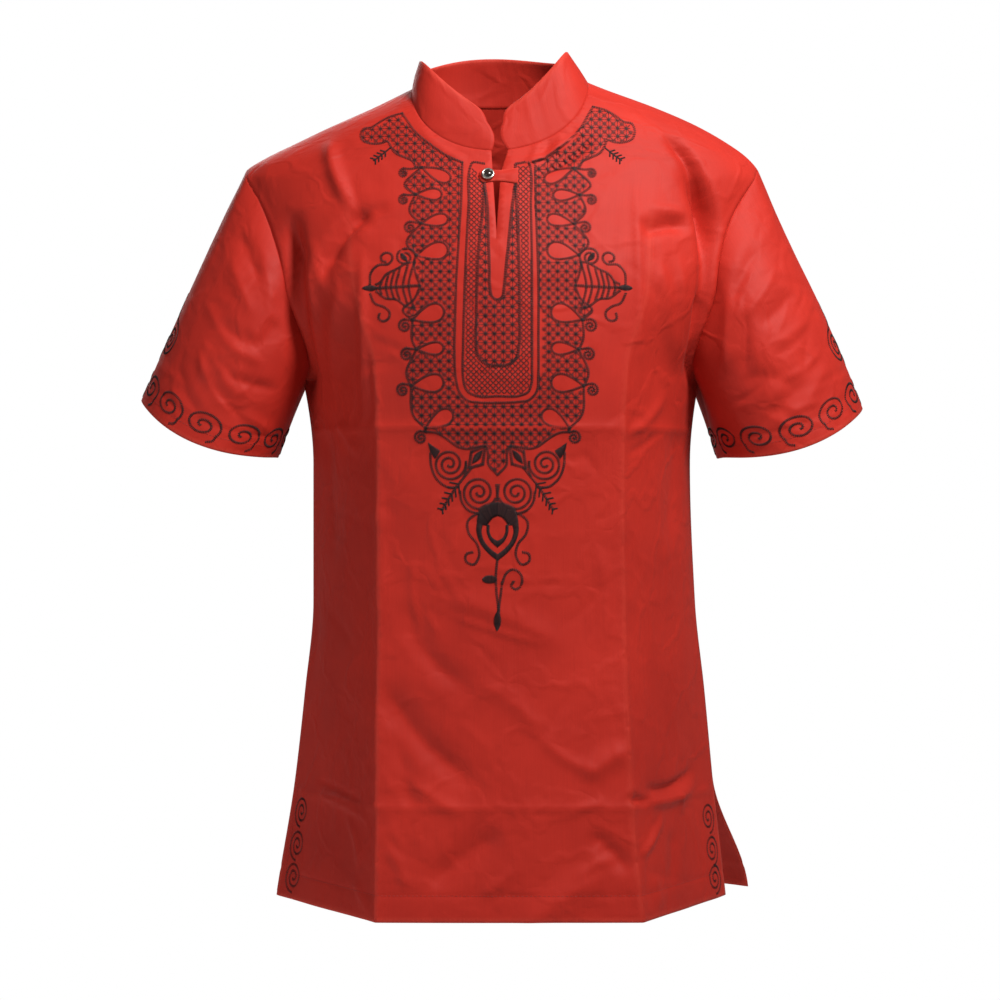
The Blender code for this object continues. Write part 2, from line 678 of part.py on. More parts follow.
def build_panel(name, face, seams, material, collection):
    """Cut a panel by its outline, lay it on the body and give it its wall."""
    edge = panel_outline(face)
    outline = np.array([(t, drop) for t, drop, _ in edge])
    places, faces, on_edge = fill_outline(outline, panel_points(face, outline))
    t, drop = from_pattern(places)
    t = np.where(np.abs(np.abs(t) - 1) < 1e-6, np.sign(t), t)
    points = body(face, t, drop)
    normals = normals_of(body, face, t, drop)
    faces = turned_faces(points, faces, normals)
    offsets = -mesh_normals(points, faces) * CLOTH
    for k, source in enumerate(on_edge):
        if source < 0:
            continue
        seam = edge[source][2]
        normal = normals[k:k + 1]
        if seam in ("shoulder", "side"):
            offsets[k] = -pin_to_side_plane(normal, t[k:k + 1])[0] * CLOTH
        if seam in ("neck", "armhole"):
            normal = pin_to_side_plane(normal, t[k:k + 1])
            seam_points, middles = seams[seam]
            nearest = np.argmin(np.linalg.norm(seam_points - points[k], axis=1))
            offsets[k] = inward(middles[nearest:nearest + 1], normal, CLOTH)[0]
    shift = np.array([0.0, face * SEAM_GAP / 2, 0.0])
    return walled(name, points + shift, points + shift + offsets, faces, material, collection)


def grid_faces(rows, columns, closed):
    """Triangles of a grid of points, row by row, the same on both faces of a wall."""
    last = columns if closed else columns - 1
    faces = []
    for row in range(rows - 1):
        for col in range(last):
            after = (col + 1) % columns
            here, below = row * columns, (row + 1) * columns
            faces.append((here + col, below + col, below + after))
            faces.append((here + col, below + after, here + after))
    return faces


def build_grid(name, grid, normals, foot_middles, thickness, closed, material, collection):
    """A wall on a grid of points whose first row is seamed to a panel."""
    rows, columns = grid.shape[:2]
    offsets = -normals * thickness
    offsets[0] = inward(foot_middles, normals[0], thickness)
    grid = grid.copy()
    if closed:
        around = np.roll(grid[0], -1, axis=0) - np.roll(grid[0], 1, axis=0)
    else:
        around = np.gradient(grid[0], axis=0)
    away = unit(np.cross(around, foot_middles))
    backward = np.sum(away * (grid[1] - grid[0]), axis=1) < 0
    away[backward] *= -1
    grid[0] += away * SEAM_GAP
    outer = grid.reshape(-1, 3)
    flat_normals = normals.reshape(-1, 3)
    faces = turned_faces(outer, grid_faces(rows, columns, closed), flat_normals)
    return walled(name, outer, outer + offsets.reshape(-1, 3), faces, material, collection)


def build_tab(material, collection):
    """The button tab: a strap with round ends, on the front's points moved out."""
    columns, rows = 13, 5
    x = np.linspace(TAB_LEFT, TAB_RIGHT, columns)
    from_end = np.minimum(x - TAB_LEFT, TAB_RIGHT - x)
    narrow = np.sqrt(np.maximum(1 - (1 - np.minimum(from_end / TAB_ROUND, 1)) ** 2, 0.16))
    share = np.linspace(-0.5, 0.5, rows)
    drop = TAB_DROP + share[:, None] * TAB_HEIGHT * narrow[None]
    across = np.broadcast_to(x, drop.shape)
    t = t_at(-1, across.ravel(), drop.ravel()).reshape(drop.shape)
    normals = normals_of(body, -1, t, drop)
    under = body(-1, t, drop) + normals * SEAM_GAP - np.array([0.0, SEAM_GAP / 2, 0.0])
    outer = (under + normals * TAB_THICK).reshape(-1, 3)
    faces = turned_faces(outer, grid_faces(rows, columns, False), normals.reshape(-1, 3))
    return walled("button_tab", outer, under.reshape(-1, 3), faces, material, collection)


def build_turned(name, profile, place, material, collection):
    """A turned piece: its profile, run from the top down, swept once round by a Screw modifier."""
    mesh = bpy.data.meshes.new(name)
    points = [(radius, 0.0, height) for radius, height in profile]
    mesh.from_pydata(points, [(k, k + 1) for k in range(len(points) - 1)], [])
    made = add_object(name, mesh, material, collection)
    made.matrix_world = place
    screw = made.modifiers.new("Turn", "SCREW")
    screw.steps = BUTTON_STEPS
    screw.render_steps = BUTTON_STEPS
    screw.use_merge_vertices = True
    screw.merge_threshold = 0.00001
    screw.use_smooth_shade = True
    return made


def button_place():
    """Where the button sits: on the tab, its axis along the front's normal."""
    drop = np.array([TAB_DROP])
    t = t_at(-1, BUTTON_X, drop)
    normal = normals_of(body, -1, t, drop)[0]
    seat = body(-1, t, drop)[0] + normal * (2 * SEAM_GAP + TAB_THICK)
    turn = Vector(normal).to_track_quat("Z", "Y").to_matrix().to_4x4()
    return Matrix.Translation(Vector(seat)) @ turn


def finish(name, colour, roughness, metallic=0.0):
    material = bpy.data.materials.new(name)
    material.use_nodes = True
    shader = material.node_tree.nodes["Principled BSDF"]
    shader.inputs["Base Color"].default_value = colour
    shader.inputs["Roughness"].default_value = roughness
    shader.inputs["Metallic"].default_value = metallic
    return material


def armhole_seam(grid, side):
    """Points and halving directions of an armhole, for the panels and the sleeve."""
    sleeve_normals = grid_normals(grid, -side)[0]
    angle = np.linspace(0.0, 2 * math.pi, 2 * ARMHOLE_STEPS, endpoint=False)
    t, drop = armhole(side, angle)
    on_front = (angle <= math.pi)[:, None]
    panel_normals = np.where(on_front, normals_of(body, -1, t, drop), normals_of(body, 1, t, drop))
    panel_normals = pin_to_side_plane(panel_normals, t)
    middles = pin_to_side_plane(mitre(panel_normals, sleeve_normals), t)
    return grid[0], middles


for old in list(bpy.data.objects):
    bpy.data.objects.remove(old, do_unlink=True)

shirt = bpy.data.collections.new("dashiki_shirt")
bpy.context.scene.collection.children.link(shirt)

sleeves = {side: sleeve_grid(side) for side in (-1, 1)}
arm_seams = {side: armhole_seam(sleeves[side], side) for side in (-1, 1)}

collar, foot_on_front, foot_t, foot_drop = collar_grid()
collar_normals = grid_normals(collar, 1.0, closed=False)
outward = np.sum(collar_normals * (collar * np.array([1.0, 1.0, 0.0])), axis=-1)
collar_normals[outward < 0] *= -1
neck_middles = np.where(
    foot_on_front[:, None],
    neck_seam(-1, foot_t, foot_drop, collar_normals[0]),
    neck_seam(1, foot_t, foot_drop, collar_normals[0]),
)

seams = {
    "neck": (collar[0], neck_middles),
    "armhole": tuple(np.concatenate([arm_seams[-1][k], arm_seams[1][k]]) for k in range(2)),
}

build_panel("front", -1, seams, finish("front_cotton", RED_COTTON, 0.75), shirt)
build_panel("back", 1, seams, finish("back_cotton", RED_COTTON, 0.75), shirt)
for side, name in ((-1, "sleeve_right"), (1, "sleeve_left")):
    build_grid(name, sleeves[side], grid_normals(sleeves[side], -side), arm_seams[side][1],
               CLOTH, True, finish(name + "_cotton", RED_COTTON, 0.75), shirt)
build_grid("stand_collar", collar, collar_normals, neck_middles,
           COLLAR_WALL, False, finish("collar_cotton", RED_COTTON, 0.70), shirt)
build_tab(finish("tab_cotton", RED_COTTON, 0.70), shirt)
build_turned("button_rim", RIM_PROFILE, button_place(), finish("rim_metal", DARK_METAL, 0.35, 1.0), shirt)
build_turned("button_dome", DOME_PROFILE, button_place(), finish("dome_horn", DARK_HORN, 0.25), shirt)
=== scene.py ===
"""Looks of the dashiki shirt: red polished cotton, its sewing, its button and its embroidery.

Units are metres, +Z is up and the front faces -Y, as in the solids. A drop is a height measured down
from the neck points. Across a panel, t runs from -1 at the side seam at -X to 1 at the one at +X.
Embroidery is laid out flat in millimetres and sewn on the finished cloth.
"""

import math

import bpy
import numpy as np
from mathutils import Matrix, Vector
from mathutils.geometry import delaunay_2d_cdt


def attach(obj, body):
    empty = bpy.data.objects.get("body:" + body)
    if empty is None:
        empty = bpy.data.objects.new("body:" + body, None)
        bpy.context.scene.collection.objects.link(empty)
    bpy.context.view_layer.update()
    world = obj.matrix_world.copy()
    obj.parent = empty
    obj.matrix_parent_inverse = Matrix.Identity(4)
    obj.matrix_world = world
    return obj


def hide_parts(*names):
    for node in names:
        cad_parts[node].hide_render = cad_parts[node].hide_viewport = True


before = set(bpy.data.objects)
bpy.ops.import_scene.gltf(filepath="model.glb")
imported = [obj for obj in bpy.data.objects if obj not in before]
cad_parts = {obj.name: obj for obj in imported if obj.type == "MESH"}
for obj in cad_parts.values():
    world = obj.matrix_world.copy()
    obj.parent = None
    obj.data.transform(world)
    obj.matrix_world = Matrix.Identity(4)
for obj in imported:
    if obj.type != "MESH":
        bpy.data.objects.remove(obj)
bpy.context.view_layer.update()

# Front
# The real front is one length of polished red cotton, cut with its neckline, slit and armholes.
# It hangs from the shoulders, keeps two long pressed creases and is turned up at the hem.
CLOTH = 0.0012
SHOULDER_TIP = 0.073
ARMPIT = 0.262
VENT_TOP = 0.617
HEM = 0.722
CREASE_T = 0.40
FRONT_CROWN = 0.10
NECK_HALF = 0.0785
NECK_SIDE_RISE = 0.003
NECK_FRONT = -0.065
NECK_FRONT_TILT = 0.10
NECK_BACK_DIP = 0.009
NECK_POWER = 2.3
SLIT = (
    # right edge, left edge, drop
    (0.0075, -0.0080, 0.0640),
    (0.0010, -0.0068, 0.0860),
    (-0.0010, -0.0050, 0.1150),
    (-0.0030, -0.0030, 0.1470),
)
FRONT_PART = 0.013
BACK_SWING = (
    # sideways, backwards
    (-0.002, 0.013),
    (0.025, 0.036),
)
ARMHOLE_CUT = 0.32
ARMHOLE_POWER = 0.40
FOLD_FADE = 0.09
FINE_FADE = 0.035
BODY_RINGS = (
    # drop, half width at -X, half width at +X, front depth, back depth, share of flat facets,
    # crease at -X, crease at +X
    (-0.010, 0.0570, 0.0690, 0.042, 0.056, 0.00, 0.112, 0.112),
    (0.000, 0.0785, 0.0930, 0.050, 0.062, 0.00, 0.112, 0.112),
    (0.018, 0.1155, 0.1420, 0.059, 0.068, 0.00, 0.112, 0.112),
    (0.034, 0.1515, 0.1785, 0.066, 0.073, 0.00, 0.112, 0.112),
    (0.050, 0.1860, 0.2065, 0.071, 0.077, 0.05, 0.112, 0.112),
    (0.062, 0.2110, 0.2225, 0.075, 0.080, 0.05, 0.112, 0.112),
    (0.073, 0.2285, 0.2325, 0.079, 0.083, 0.10, 0.112, 0.112),
    (0.086, 0.2370, 0.2380, 0.085, 0.087, 0.15, 0.112, 0.112),
    (0.120, 0.2370, 0.2350, 0.101, 0.098, 0.25, 0.113, 0.112),
    (0.180, 0.2280, 0.2300, 0.121, 0.111, 0.35, 0.112, 0.112),
    (0.262, 0.1770, 0.1790, 0.130, 0.115, 0.45, 0.110, 0.110),
    (0.337, 0.1680, 0.1710, 0.128, 0.112, 0.55, 0.108, 0.108),
    (0.460, 0.1680, 0.1755, 0.130, 0.112, 0.65, 0.105, 0.107),
    (0.540, 0.1755, 0.1840, 0.137, 0.117, 0.75, 0.104, 0.107),
    (0.620, 0.1845, 0.1915, 0.146, 0.124, 0.85, 0.103, 0.110),
    (0.722, 0.2000, 0.2020, 0.158, 0.135, 0.97, 0.104, 0.120),
)
FRONT_FOLDS = (
    # main folds: x, z, x, z, x, z, half width, rise
    (-0.180, -0.112, -0.180, -0.195, -0.166, -0.285, 0.017, -0.0190),
    (0.155, -0.070, 0.184, -0.150, 0.168, -0.285, 0.017, -0.0170),
    (-0.160, -0.290, -0.152, -0.360, -0.146, -0.440, 0.018, -0.0040),
    (0.160, -0.290, 0.154, -0.350, 0.150, -0.420, 0.018, -0.0040),
    (-0.066, -0.700, -0.030, -0.668, 0.006, -0.648, 0.024, -0.0052),
    (0.010, -0.735, 0.050, -0.705, 0.094, -0.680, 0.026, 0.0052),
    (0.074, -0.646, 0.093, -0.664, 0.112, -0.684, 0.016, -0.0045),
    (0.070, -0.608, 0.089, -0.590, 0.112, -0.579, 0.018, 0.0045),
    (-0.078, -0.450, -0.062, -0.500, -0.012, -0.534, 0.020, -0.0036),
    (-0.102, -0.518, -0.066, -0.572, 0.000, -0.622, 0.024, -0.0050),
    (-0.055, -0.450, 0.005, -0.468, 0.062, -0.498, 0.022, 0.0024),
    (0.122, -0.139, 0.142, -0.132, 0.168, -0.130, 0.013, -0.0055),
)
FRONT_WRINKLES = (
    # finer folds: x, z, x, z, x, z, half width, rise
    (-0.182, -0.134, -0.184, -0.200, -0.174, -0.264, 0.0075, -0.0070),
    (-0.162, -0.140, -0.160, -0.165, -0.153, -0.190, 0.007, 0.0022),
    (-0.108, -0.118, -0.136, -0.140, -0.158, -0.186, 0.015, -0.0085),
    (-0.150, -0.046, -0.144, -0.084, -0.126, -0.118, 0.012, 0.0052),
    (-0.166, -0.150, -0.163, -0.210, -0.152, -0.268, 0.009, 0.0030),
    (0.140, -0.048, 0.172, -0.084, 0.190, -0.160, 0.011, -0.0080),
    (0.176, -0.180, 0.173, -0.225, 0.164, -0.268, 0.010, -0.0065),
    (0.152, -0.150, 0.158, -0.205, 0.148, -0.262, 0.009, 0.0030),
    (0.078, -0.034, 0.052, -0.062, 0.018, -0.077, 0.006, 0.0026),
    (0.086, -0.047, 0.058, -0.074, 0.024, -0.088, 0.006, -0.0024),
    (0.034, -0.056, 0.030, -0.068, 0.024, -0.084, 0.004, 0.0022),
    (0.044, -0.052, 0.040, -0.064, 0.034, -0.080, 0.004, -0.0022),
    (0.054, -0.048, 0.051, -0.058, 0.046, -0.070, 0.004, 0.0020),
    (0.066, -0.042, 0.064, -0.052, 0.060, -0.064, 0.005, -0.0018),
    (-0.007, -0.146, 0.000, -0.152, 0.004, -0.166, 0.004, 0.0014),
    (-0.008, -0.160, -0.003, -0.158, 0.003, -0.152, 0.003, -0.0012),
    (-0.076, -0.036, -0.052, -0.062, -0.022, -0.078, 0.007, 0.0014),
    (-0.132, -0.128, -0.112, -0.119, -0.094, -0.117, 0.010, -0.0022),
    (-0.150, -0.160, -0.128, -0.142, -0.108, -0.136, 0.010, 0.0016),
    (-0.119, -0.145, -0.118, -0.220, -0.117, -0.320, 0.008, 0.0030),
    (0.126, -0.118, 0.146, -0.117, 0.164, -0.121, 0.008, 0.0018),
    (0.118, -0.080, 0.119, -0.180, 0.120, -0.300, 0.007, 0.0022),
    (0.132, -0.160, 0.145, -0.200, 0.148, -0.255, 0.013, 0.0030),
    (-0.134, -0.180, -0.146, -0.225, -0.144, -0.280, 0.013, 0.0030),
    (0.146, -0.270, 0.128, -0.300, 0.100, -0.316, 0.008, 0.0020),
    (-0.148, -0.275, -0.134, -0.312, -0.112, -0.334, 0.009, 0.0022),
    (0.107, -0.291, 0.117, -0.292, 0.128, -0.296, 0.004, 0.0011),
    (0.106, -0.331, 0.124, -0.322, 0.140, -0.308, 0.006, -0.0014),
    (-0.075, -0.410, -0.074, -0.450, -0.066, -0.492, 0.006, 0.0013),
    (-0.062, -0.462, -0.058, -0.474, -0.050, -0.484, 0.005, 0.0011),
    (-0.049, -0.464, -0.001, -0.481, 0.044, -0.493, 0.004, 0.0014),
    (-0.024, -0.441, 0.020, -0.442, 0.068, -0.439, 0.004, -0.0010),
    (-0.094, -0.560, -0.080, -0.600, -0.072, -0.640, 0.016, -0.0026),
    (-0.090, -0.590, -0.060, -0.618, -0.020, -0.636, 0.012, 0.0022),
    (0.108, -0.620, 0.117, -0.6235, 0.128, -0.627, 0.006, -0.0042),
    (0.116, -0.670, 0.127, -0.660, 0.134, -0.644, 0.005, 0.0026),
    (0.120, -0.611, 0.146, -0.618, 0.175, -0.603, 0.008, -0.0040),
    (0.122, -0.623, 0.150, -0.629, 0.178, -0.614, 0.009, 0.0030),
    (0.141, -0.636, 0.131, -0.658, 0.119, -0.673, 0.005, 0.0020),
    (0.154, -0.622, 0.158, -0.632, 0.160, -0.642, 0.006, 0.0018),
    (0.148, -0.652, 0.150, -0.676, 0.146, -0.702, 0.010, -0.0022),
    (0.130, -0.686, 0.134, -0.702, 0.137, -0.720, 0.008, 0.0018),
    (-0.164, -0.616, -0.138, -0.6205, -0.110, -0.629, 0.006, -0.0027),
    (-0.160, -0.627, -0.136, -0.631, -0.108, -0.641, 0.007, 0.0024),
    (-0.134, -0.635, -0.122, -0.662, -0.123, -0.682, 0.006, 0.0020),
    (-0.126, -0.690, -0.118, -0.704, -0.108, -0.720, 0.008, 0.0016),
    (0.030, -0.560, 0.052, -0.585, 0.086, -0.600, 0.010, 0.0018),
    (0.052, -0.640, 0.070, -0.628, 0.096, -0.624, 0.007, 0.0016),
    (-0.100, -0.660, -0.085, -0.676, -0.078, -0.700, 0.010, 0.0022),
    (-0.020, -0.700, 0.000, -0.690, 0.016, -0.672, 0.012, 0.0024),
    (0.060, -0.690, 0.078, -0.676, 0.104, -0.668, 0.008, 0.0018),
    (-0.030, -0.520, 0.010, -0.540, 0.040, -0.574, 0.016, 0.0016),
    (0.080, -0.400, 0.090, -0.450, 0.088, -0.510, 0.012, 0.0014),
    (-0.108, -0.360, -0.100, -0.420, -0.104, -0.480, 0.012, 0.0016),
)
FOLD_TIP = 0.16
FOLD_STEPS = 17
FOLD_END = 0.3
CRUMPLE_HALF = (0.010, 0.034)
CRUMPLE_WIDTH = (0.0040, 0.0090)
CRUMPLE_RISE = (0.00025, 0.00085)
SWELL = 0.0022
SWELL_WAVES = (0.050, 0.190, 8)
SWELL_TOP = 0.02
SWELL_EASE = 0.05
PRESSED_ROWS = (0.307, 0.628)
PRESSED_RISE = 0.0016
PRESSED_WIDTH = 0.0045
CREASE_RISE = 0.0013
CREASE_WIDTH = 0.0050
CREASE_TOP = 0.22
CREASE_EASE = 0.08
HEM_DEEP = 0.0215
HEM_GROOVE = 0.0006
HEM_GROOVE_WIDTH = 0.0018
SEAM_RIDGE = 0.0007
SEAM_RIDGE_PLACE = 0.0045
SEAM_RIDGE_WIDTH = 0.0022
SEAM_RIDGE_EASE = 0.02
EDGE_WEAR = 0.004
HEM_WEAR = 0.8
# Painted highlight along the pressed creases: its strength, its width, and the drop where it begins and eases
# in.
CREASE_HIGHLIGHT_PAINT = 0.35
CREASE_HIGHLIGHT_WIDTH = 0.0015
CREASE_HIGHLIGHT_TOP = 0.09
CREASE_HIGHLIGHT_EASE = 0.06
CLOTH_SHARP = 75.0
RIM_REACH = 0.45
LINE_GAP = 0.0016
PLACE_GAP = 0.62
NECK_FRONT_RUN = 0.105
NECK_BACK_RUN = 0.20
ARMHOLE_RUN = 0.25
HALF_GIRTH = 0.26
SHOULDER_STRETCH = 2.36
FRONT_SPACING = 0.0034
LOOKUP_STEPS = (521, 733)
TOP_DROP = -0.010

RED = (0.520, 0.026, 0.015)
RED_DEEP = (0.420, 0.020, 0.012)
# Lighter red for the real wear at folded edges, and also for the painted highlight along the pressed creases.
RED_WORN_AND_HIGHLIGHT = (0.620, 0.070, 0.045)
THREAD_PITCH = 0.00055
SHEEN_TINT = (1.0, 0.45, 0.38, 1.0)


def rows_at(rows, at):
    """Read a table at any value: a monotone cubic through its rows, one column for each value."""
    table = np.asarray(rows, float)
    knots, values = table[:, 0], table[:, 1:]
    step = np.diff(knots)[:, None]
    chord = np.diff(values, axis=0) / step
    turns = chord[:-1] * chord[1:] > 0
    safe = np.where(turns, chord[:-1] + chord[1:], 1.0)
    slope = np.vstack([chord[:1], np.where(turns, 2 * chord[:-1] * chord[1:] / safe, 0.0), chord[-1:]])
    at = np.asarray(at, float)
    k = np.clip(np.searchsorted(knots, at, side="right") - 1, 0, len(knots) - 2)
    u = ((at - knots[k]) / step[k, 0])[..., None]
    h = step[k]
    result = (
        values[k] * (1 + 2 * u) * (1 - u) ** 2
        + values[k + 1] * u * u * (3 - 2 * u)
        + slope[k] * h * u * (1 - u) ** 2
        - slope[k + 1] * h * u * u * (1 - u)
    )
    return np.moveaxis(result, -1, 0)


def smooth(value):
    """Ease from 0 to 1 with level ends: 3 v squared less 2 v cubed."""
    value = np.clip(value, 0.0, 1.0)
    return value * value * (3 - 2 * value)


def unit(vectors):
    """Vectors at length 1."""
    return vectors / np.maximum(np.linalg.norm(vectors, axis=-1, keepdims=True), 1e-12)


def run_along(line):
    """Distance along a line to each of its points."""
    return np.concatenate([[0.0], np.cumsum(np.linalg.norm(np.diff(line, axis=0), axis=1))])


def points_at(line, run, place):
    """Points of a line at any distances along it, where run is the distance to each of its own."""
    return np.stack([np.interp(place, run, column) for column in line.T], axis=-1)


def fold_line(fold):
    """Points along a fold, on the parabola through its three points."""
    x0, z0, x1, z1, x2, z2 = fold[:6]
    s = np.linspace(0.0, 1.0, FOLD_STEPS)[:, None]
    ends = np.array([x0, z0]) * (1 - s) * (1 - 2 * s) + np.array([x2, z2]) * s * (2 * s - 1)
    return ends + np.array([x1, z1]) * 4 * s * (1 - s)


def fold_height(folds, x, z):
    """Sum of folds seen from the front: each a pinched ridge or trough, which fades at its ends.

    Its height is (1 - r)^2 at r half widths from the line, with r rounded off near 0. The distance
    is taken to the fold's nearest straight stretch, and the place along it too.
    """
    peak = math.hypot(1.0, FOLD_TIP)
    height = np.zeros(np.shape(x))
    for fold in folds:
        line = fold_line(fold)
        reach = fold[6]
        low, high = line.min(axis=0) - reach, line.max(axis=0) + reach
        near = (x > low[0]) & (x < high[0]) & (z > low[1]) & (z < high[1])
        if not near.any():
            continue
        start, stretch = line[:-1], np.diff(line, axis=0)
        from_x = x[near][:, None] - start[:, 0]
        from_z = z[near][:, None] - start[:, 1]
        share = (from_x * stretch[:, 0] + from_z * stretch[:, 1]) / np.sum(stretch**2, axis=1)
        share = np.clip(share, 0.0, 1.0)
        gap = np.hypot(from_x - share * stretch[:, 0], from_z - share * stretch[:, 1])
        nearest = np.argmin(gap, axis=1)
        rows = np.arange(len(nearest))
        along = (nearest + share[rows, nearest]) / (FOLD_STEPS - 1)
        fade = smooth(along / FOLD_END) * smooth((1 - along) / FOLD_END)
        far = np.hypot(np.minimum(gap[rows, nearest] / reach, 1.0), FOLD_TIP)
        across = ((peak - far) / (peak - FOLD_TIP)) ** 2
        height[near] += fold[7] * fade * across
    return height


def crumples(seed, count, low, high, lean, strength=1.0):
    """Small uneven folds strewn over a patch: rows like those of the fold tables.

    lean is the mean angle of a fold from the vertical, strength a factor on its rise, and each fold
    bends a little at its middle.
    """
    chance = np.random.default_rng(seed)
    x = chance.uniform(low[0], high[0], count)
    z = chance.uniform(low[1], high[1], count)
    angle = lean + chance.normal(0.0, 0.7, count)
    half = chance.uniform(*CRUMPLE_HALF, count)
    bend = chance.uniform(-0.25, 0.25, count) * half
    aside, down = np.sin(angle), -np.cos(angle)
    width = chance.uniform(*CRUMPLE_WIDTH, count)
    rise = strength * chance.choice([-1.0, 1.0], count) * chance.uniform(*CRUMPLE_RISE, count)
    return np.stack([x - aside * half, z - down * half, x + down * bend, z - aside * bend,
                     x + aside * half, z + down * half, width, rise], axis=1)


def undulation(seed, u, v):
    """Slow unevenness of hanging cloth: eight crossed sines of 50 to 190 mm with seeded phases."""
    chance = np.random.default_rng(seed)
    height = np.zeros(np.shape(u))
    for wave in np.geomspace(*SWELL_WAVES):
        angle = chance.uniform(-0.9, 0.9)
        phase, sway = chance.uniform(0.0, 2 * np.pi, 2)
        across = u * np.cos(angle) + v * np.sin(angle) * 0.6
        bent = 2 * np.pi * across / wave + 0.9 * np.sin(2 * np.pi * v / (2.3 * wave) + sway) + phase
        height += SWELL * wave * np.sin(bent)
    return height


def body_base(face, t, drop):
    """The body without folds. face is -1 for the front and 1 for the back.

    Each ring is a blend of an ellipse and of flat facets that meet at the pressed creases.
    """
    t = np.asarray(t, float)
    half_low, half_high, front, back, boxy, crease_low, crease_high = rows_at(BODY_RINGS, drop)
    half = np.where(t < 0, half_low, half_high)
    crease = np.where(t < 0, crease_low, crease_high)
    depth = front if face < 0 else back
    s = np.abs(t)
    flat = np.minimum(s / CREASE_T, 1.0)
    turned = np.maximum(s - CREASE_T, 0.0) / (1 - CREASE_T)
    round_x = half * np.sin(np.pi / 2 * s)
    round_y = depth * np.cos(np.pi / 2 * s)
    facet_x = crease * flat + (half - crease) * turned
    facet_y = depth * (1 - FRONT_CROWN * (1 - boxy) * flat**2) * (1 - turned)
    x = np.sign(t) * ((1 - boxy) * round_x + boxy * facet_x)
    y = face * ((1 - boxy) * round_y + boxy * facet_y)
    opened = smooth((drop - VENT_TOP) / (HEM - VENT_TOP))
    if face < 0:
        y = y - FRONT_PART * opened * turned
    else:
        low_swing, high_swing = BACK_SWING
        x = x + np.where(t < 0, low_swing[0], high_swing[0]) * opened * turned
        y = y + np.where(t < 0, low_swing[1], high_swing[1]) * opened * turned
    return np.stack([x, y, -np.asarray(drop, float) + 0 * t], axis=-1)


def base_normals(face, t, drop):
    """Outward unit normals of the base, from small steps along t and down the panel."""
    step_t, step_drop = 1e-3, 2e-4
    across = body_base(face, t + step_t, drop) - body_base(face, t - step_t, drop)
    down = body_base(face, t, drop + step_drop) - body_base(face, t, drop - step_drop)
    return unit(np.cross(across, down)) * face


def armhole_cut(drop):
    """How far the armhole cuts into a panel at a drop, as a share of t: a squared-up arch."""
    share = np.clip((drop - SHOULDER_TIP) / (ARMPIT - SHOULDER_TIP), 0.0, 1.0)
    return ARMHOLE_CUT * np.maximum(np.sin(np.pi * share), 0.0) ** ARMHOLE_POWER


def t_at(face, x, drop):
    """The place t across a panel where its base has the given x, by halving the span."""
    low, high = -np.ones(np.shape(x)), np.ones(np.shape(x))
    for _ in range(26):
        middle = (low + high) / 2
        before = body_base(face, middle, drop)[..., 0] < x
        low, high = np.where(before, middle, low), np.where(before, high, middle)
    return (low + high) / 2


def pattern(t, drop):
    """Flat place of a point of a panel in metres, near enough true lengths for mesh and weave."""
    above = np.minimum(drop, SHOULDER_TIP) * SHOULDER_STRETCH
    below = np.maximum(drop - SHOULDER_TIP, 0.0)
    return np.stack([np.asarray(t) * HALF_GIRTH, above + below], axis=-1)


def from_pattern(places):
    """The inverse of pattern: t and drop."""
    t = places[:, 0] / HALF_GIRTH
    knee = SHOULDER_TIP * SHOULDER_STRETCH
    below = places[:, 1] - knee + SHOULDER_TIP
    return t, np.where(places[:, 1] < knee, places[:, 1] / SHOULDER_STRETCH, below)


def body_grid(face, folds, fine, seed):
    """The finished surface of a panel on an even grid of t and drop, with its normals.

    Height over the base is the folds, the pressed creases, the slow unevenness, the groove of the hem
    stitching and the ridge beside the armhole seam. Folds die away at the armhole and side seams.
    """
    t, drop = np.meshgrid(np.linspace(-1.0, 1.0, LOOKUP_STEPS[0]),
                          np.linspace(TOP_DROP, HEM, LOOKUP_STEPS[1]), indexing="ij")
    base = body_base(face, t, drop)
    flat = pattern(t, drop)
    from_seam = 1 - armhole_cut(drop) - np.abs(t)
    soft = fold_height(folds, base[..., 0], base[..., 2])
    soft += undulation(seed, flat[..., 0], flat[..., 1]) * smooth((drop - SWELL_TOP) / SWELL_EASE)
    rise = soft * smooth(from_seam / FOLD_FADE)
    rise += fold_height(fine, base[..., 0], base[..., 2]) * smooth(from_seam / FINE_FADE)
    from_crease = np.abs(np.abs(t) - CREASE_T) * HALF_GIRTH
    rise += CREASE_RISE * np.exp(-from_crease / CREASE_WIDTH) * smooth((drop - CREASE_TOP) / CREASE_EASE)
    for row in PRESSED_ROWS:
        rise += PRESSED_RISE * np.exp(-np.abs(drop - row) / PRESSED_WIDTH) * smooth(from_seam / FOLD_FADE)
    rise -= HEM_GROOVE * np.exp(-((drop - HEM + HEM_DEEP) / HEM_GROOVE_WIDTH) ** 2)
    beside = from_seam * HALF_GIRTH - SEAM_RIDGE_PLACE
    on_arm = smooth((drop - SHOULDER_TIP) / SEAM_RIDGE_EASE) * smooth((ARMPIT - drop) / SEAM_RIDGE_EASE)
    rise += SEAM_RIDGE * np.exp(-(beside / SEAM_RIDGE_WIDTH) ** 2) * on_arm
    points = base + base_normals(face, t, drop) * rise[..., None]
    across = np.gradient(points, axis=0)
    down = np.gradient(points, axis=1)
    return points, unit(np.cross(across, down)) * face


def read_grid(grid, t, drop):
    """Values of a body grid at any t and drop, from its four nearest points."""
    i = np.clip((np.asarray(t) + 1) / 2 * (LOOKUP_STEPS[0] - 1), 0, LOOKUP_STEPS[0] - 1.001)
    j = np.clip((np.asarray(drop) - TOP_DROP) / (HEM - TOP_DROP) * (LOOKUP_STEPS[1] - 1),
                0, LOOKUP_STEPS[1] - 1.001)
    i0, j0 = i.astype(int), j.astype(int)
    a, b = (i - i0)[..., None], (j - j0)[..., None]
    near = grid[i0, j0] * (1 - b) + grid[i0, j0 + 1] * b
    far = grid[i0 + 1, j0] * (1 - b) + grid[i0 + 1, j0 + 1] * b
    return near * (1 - a) + far * a


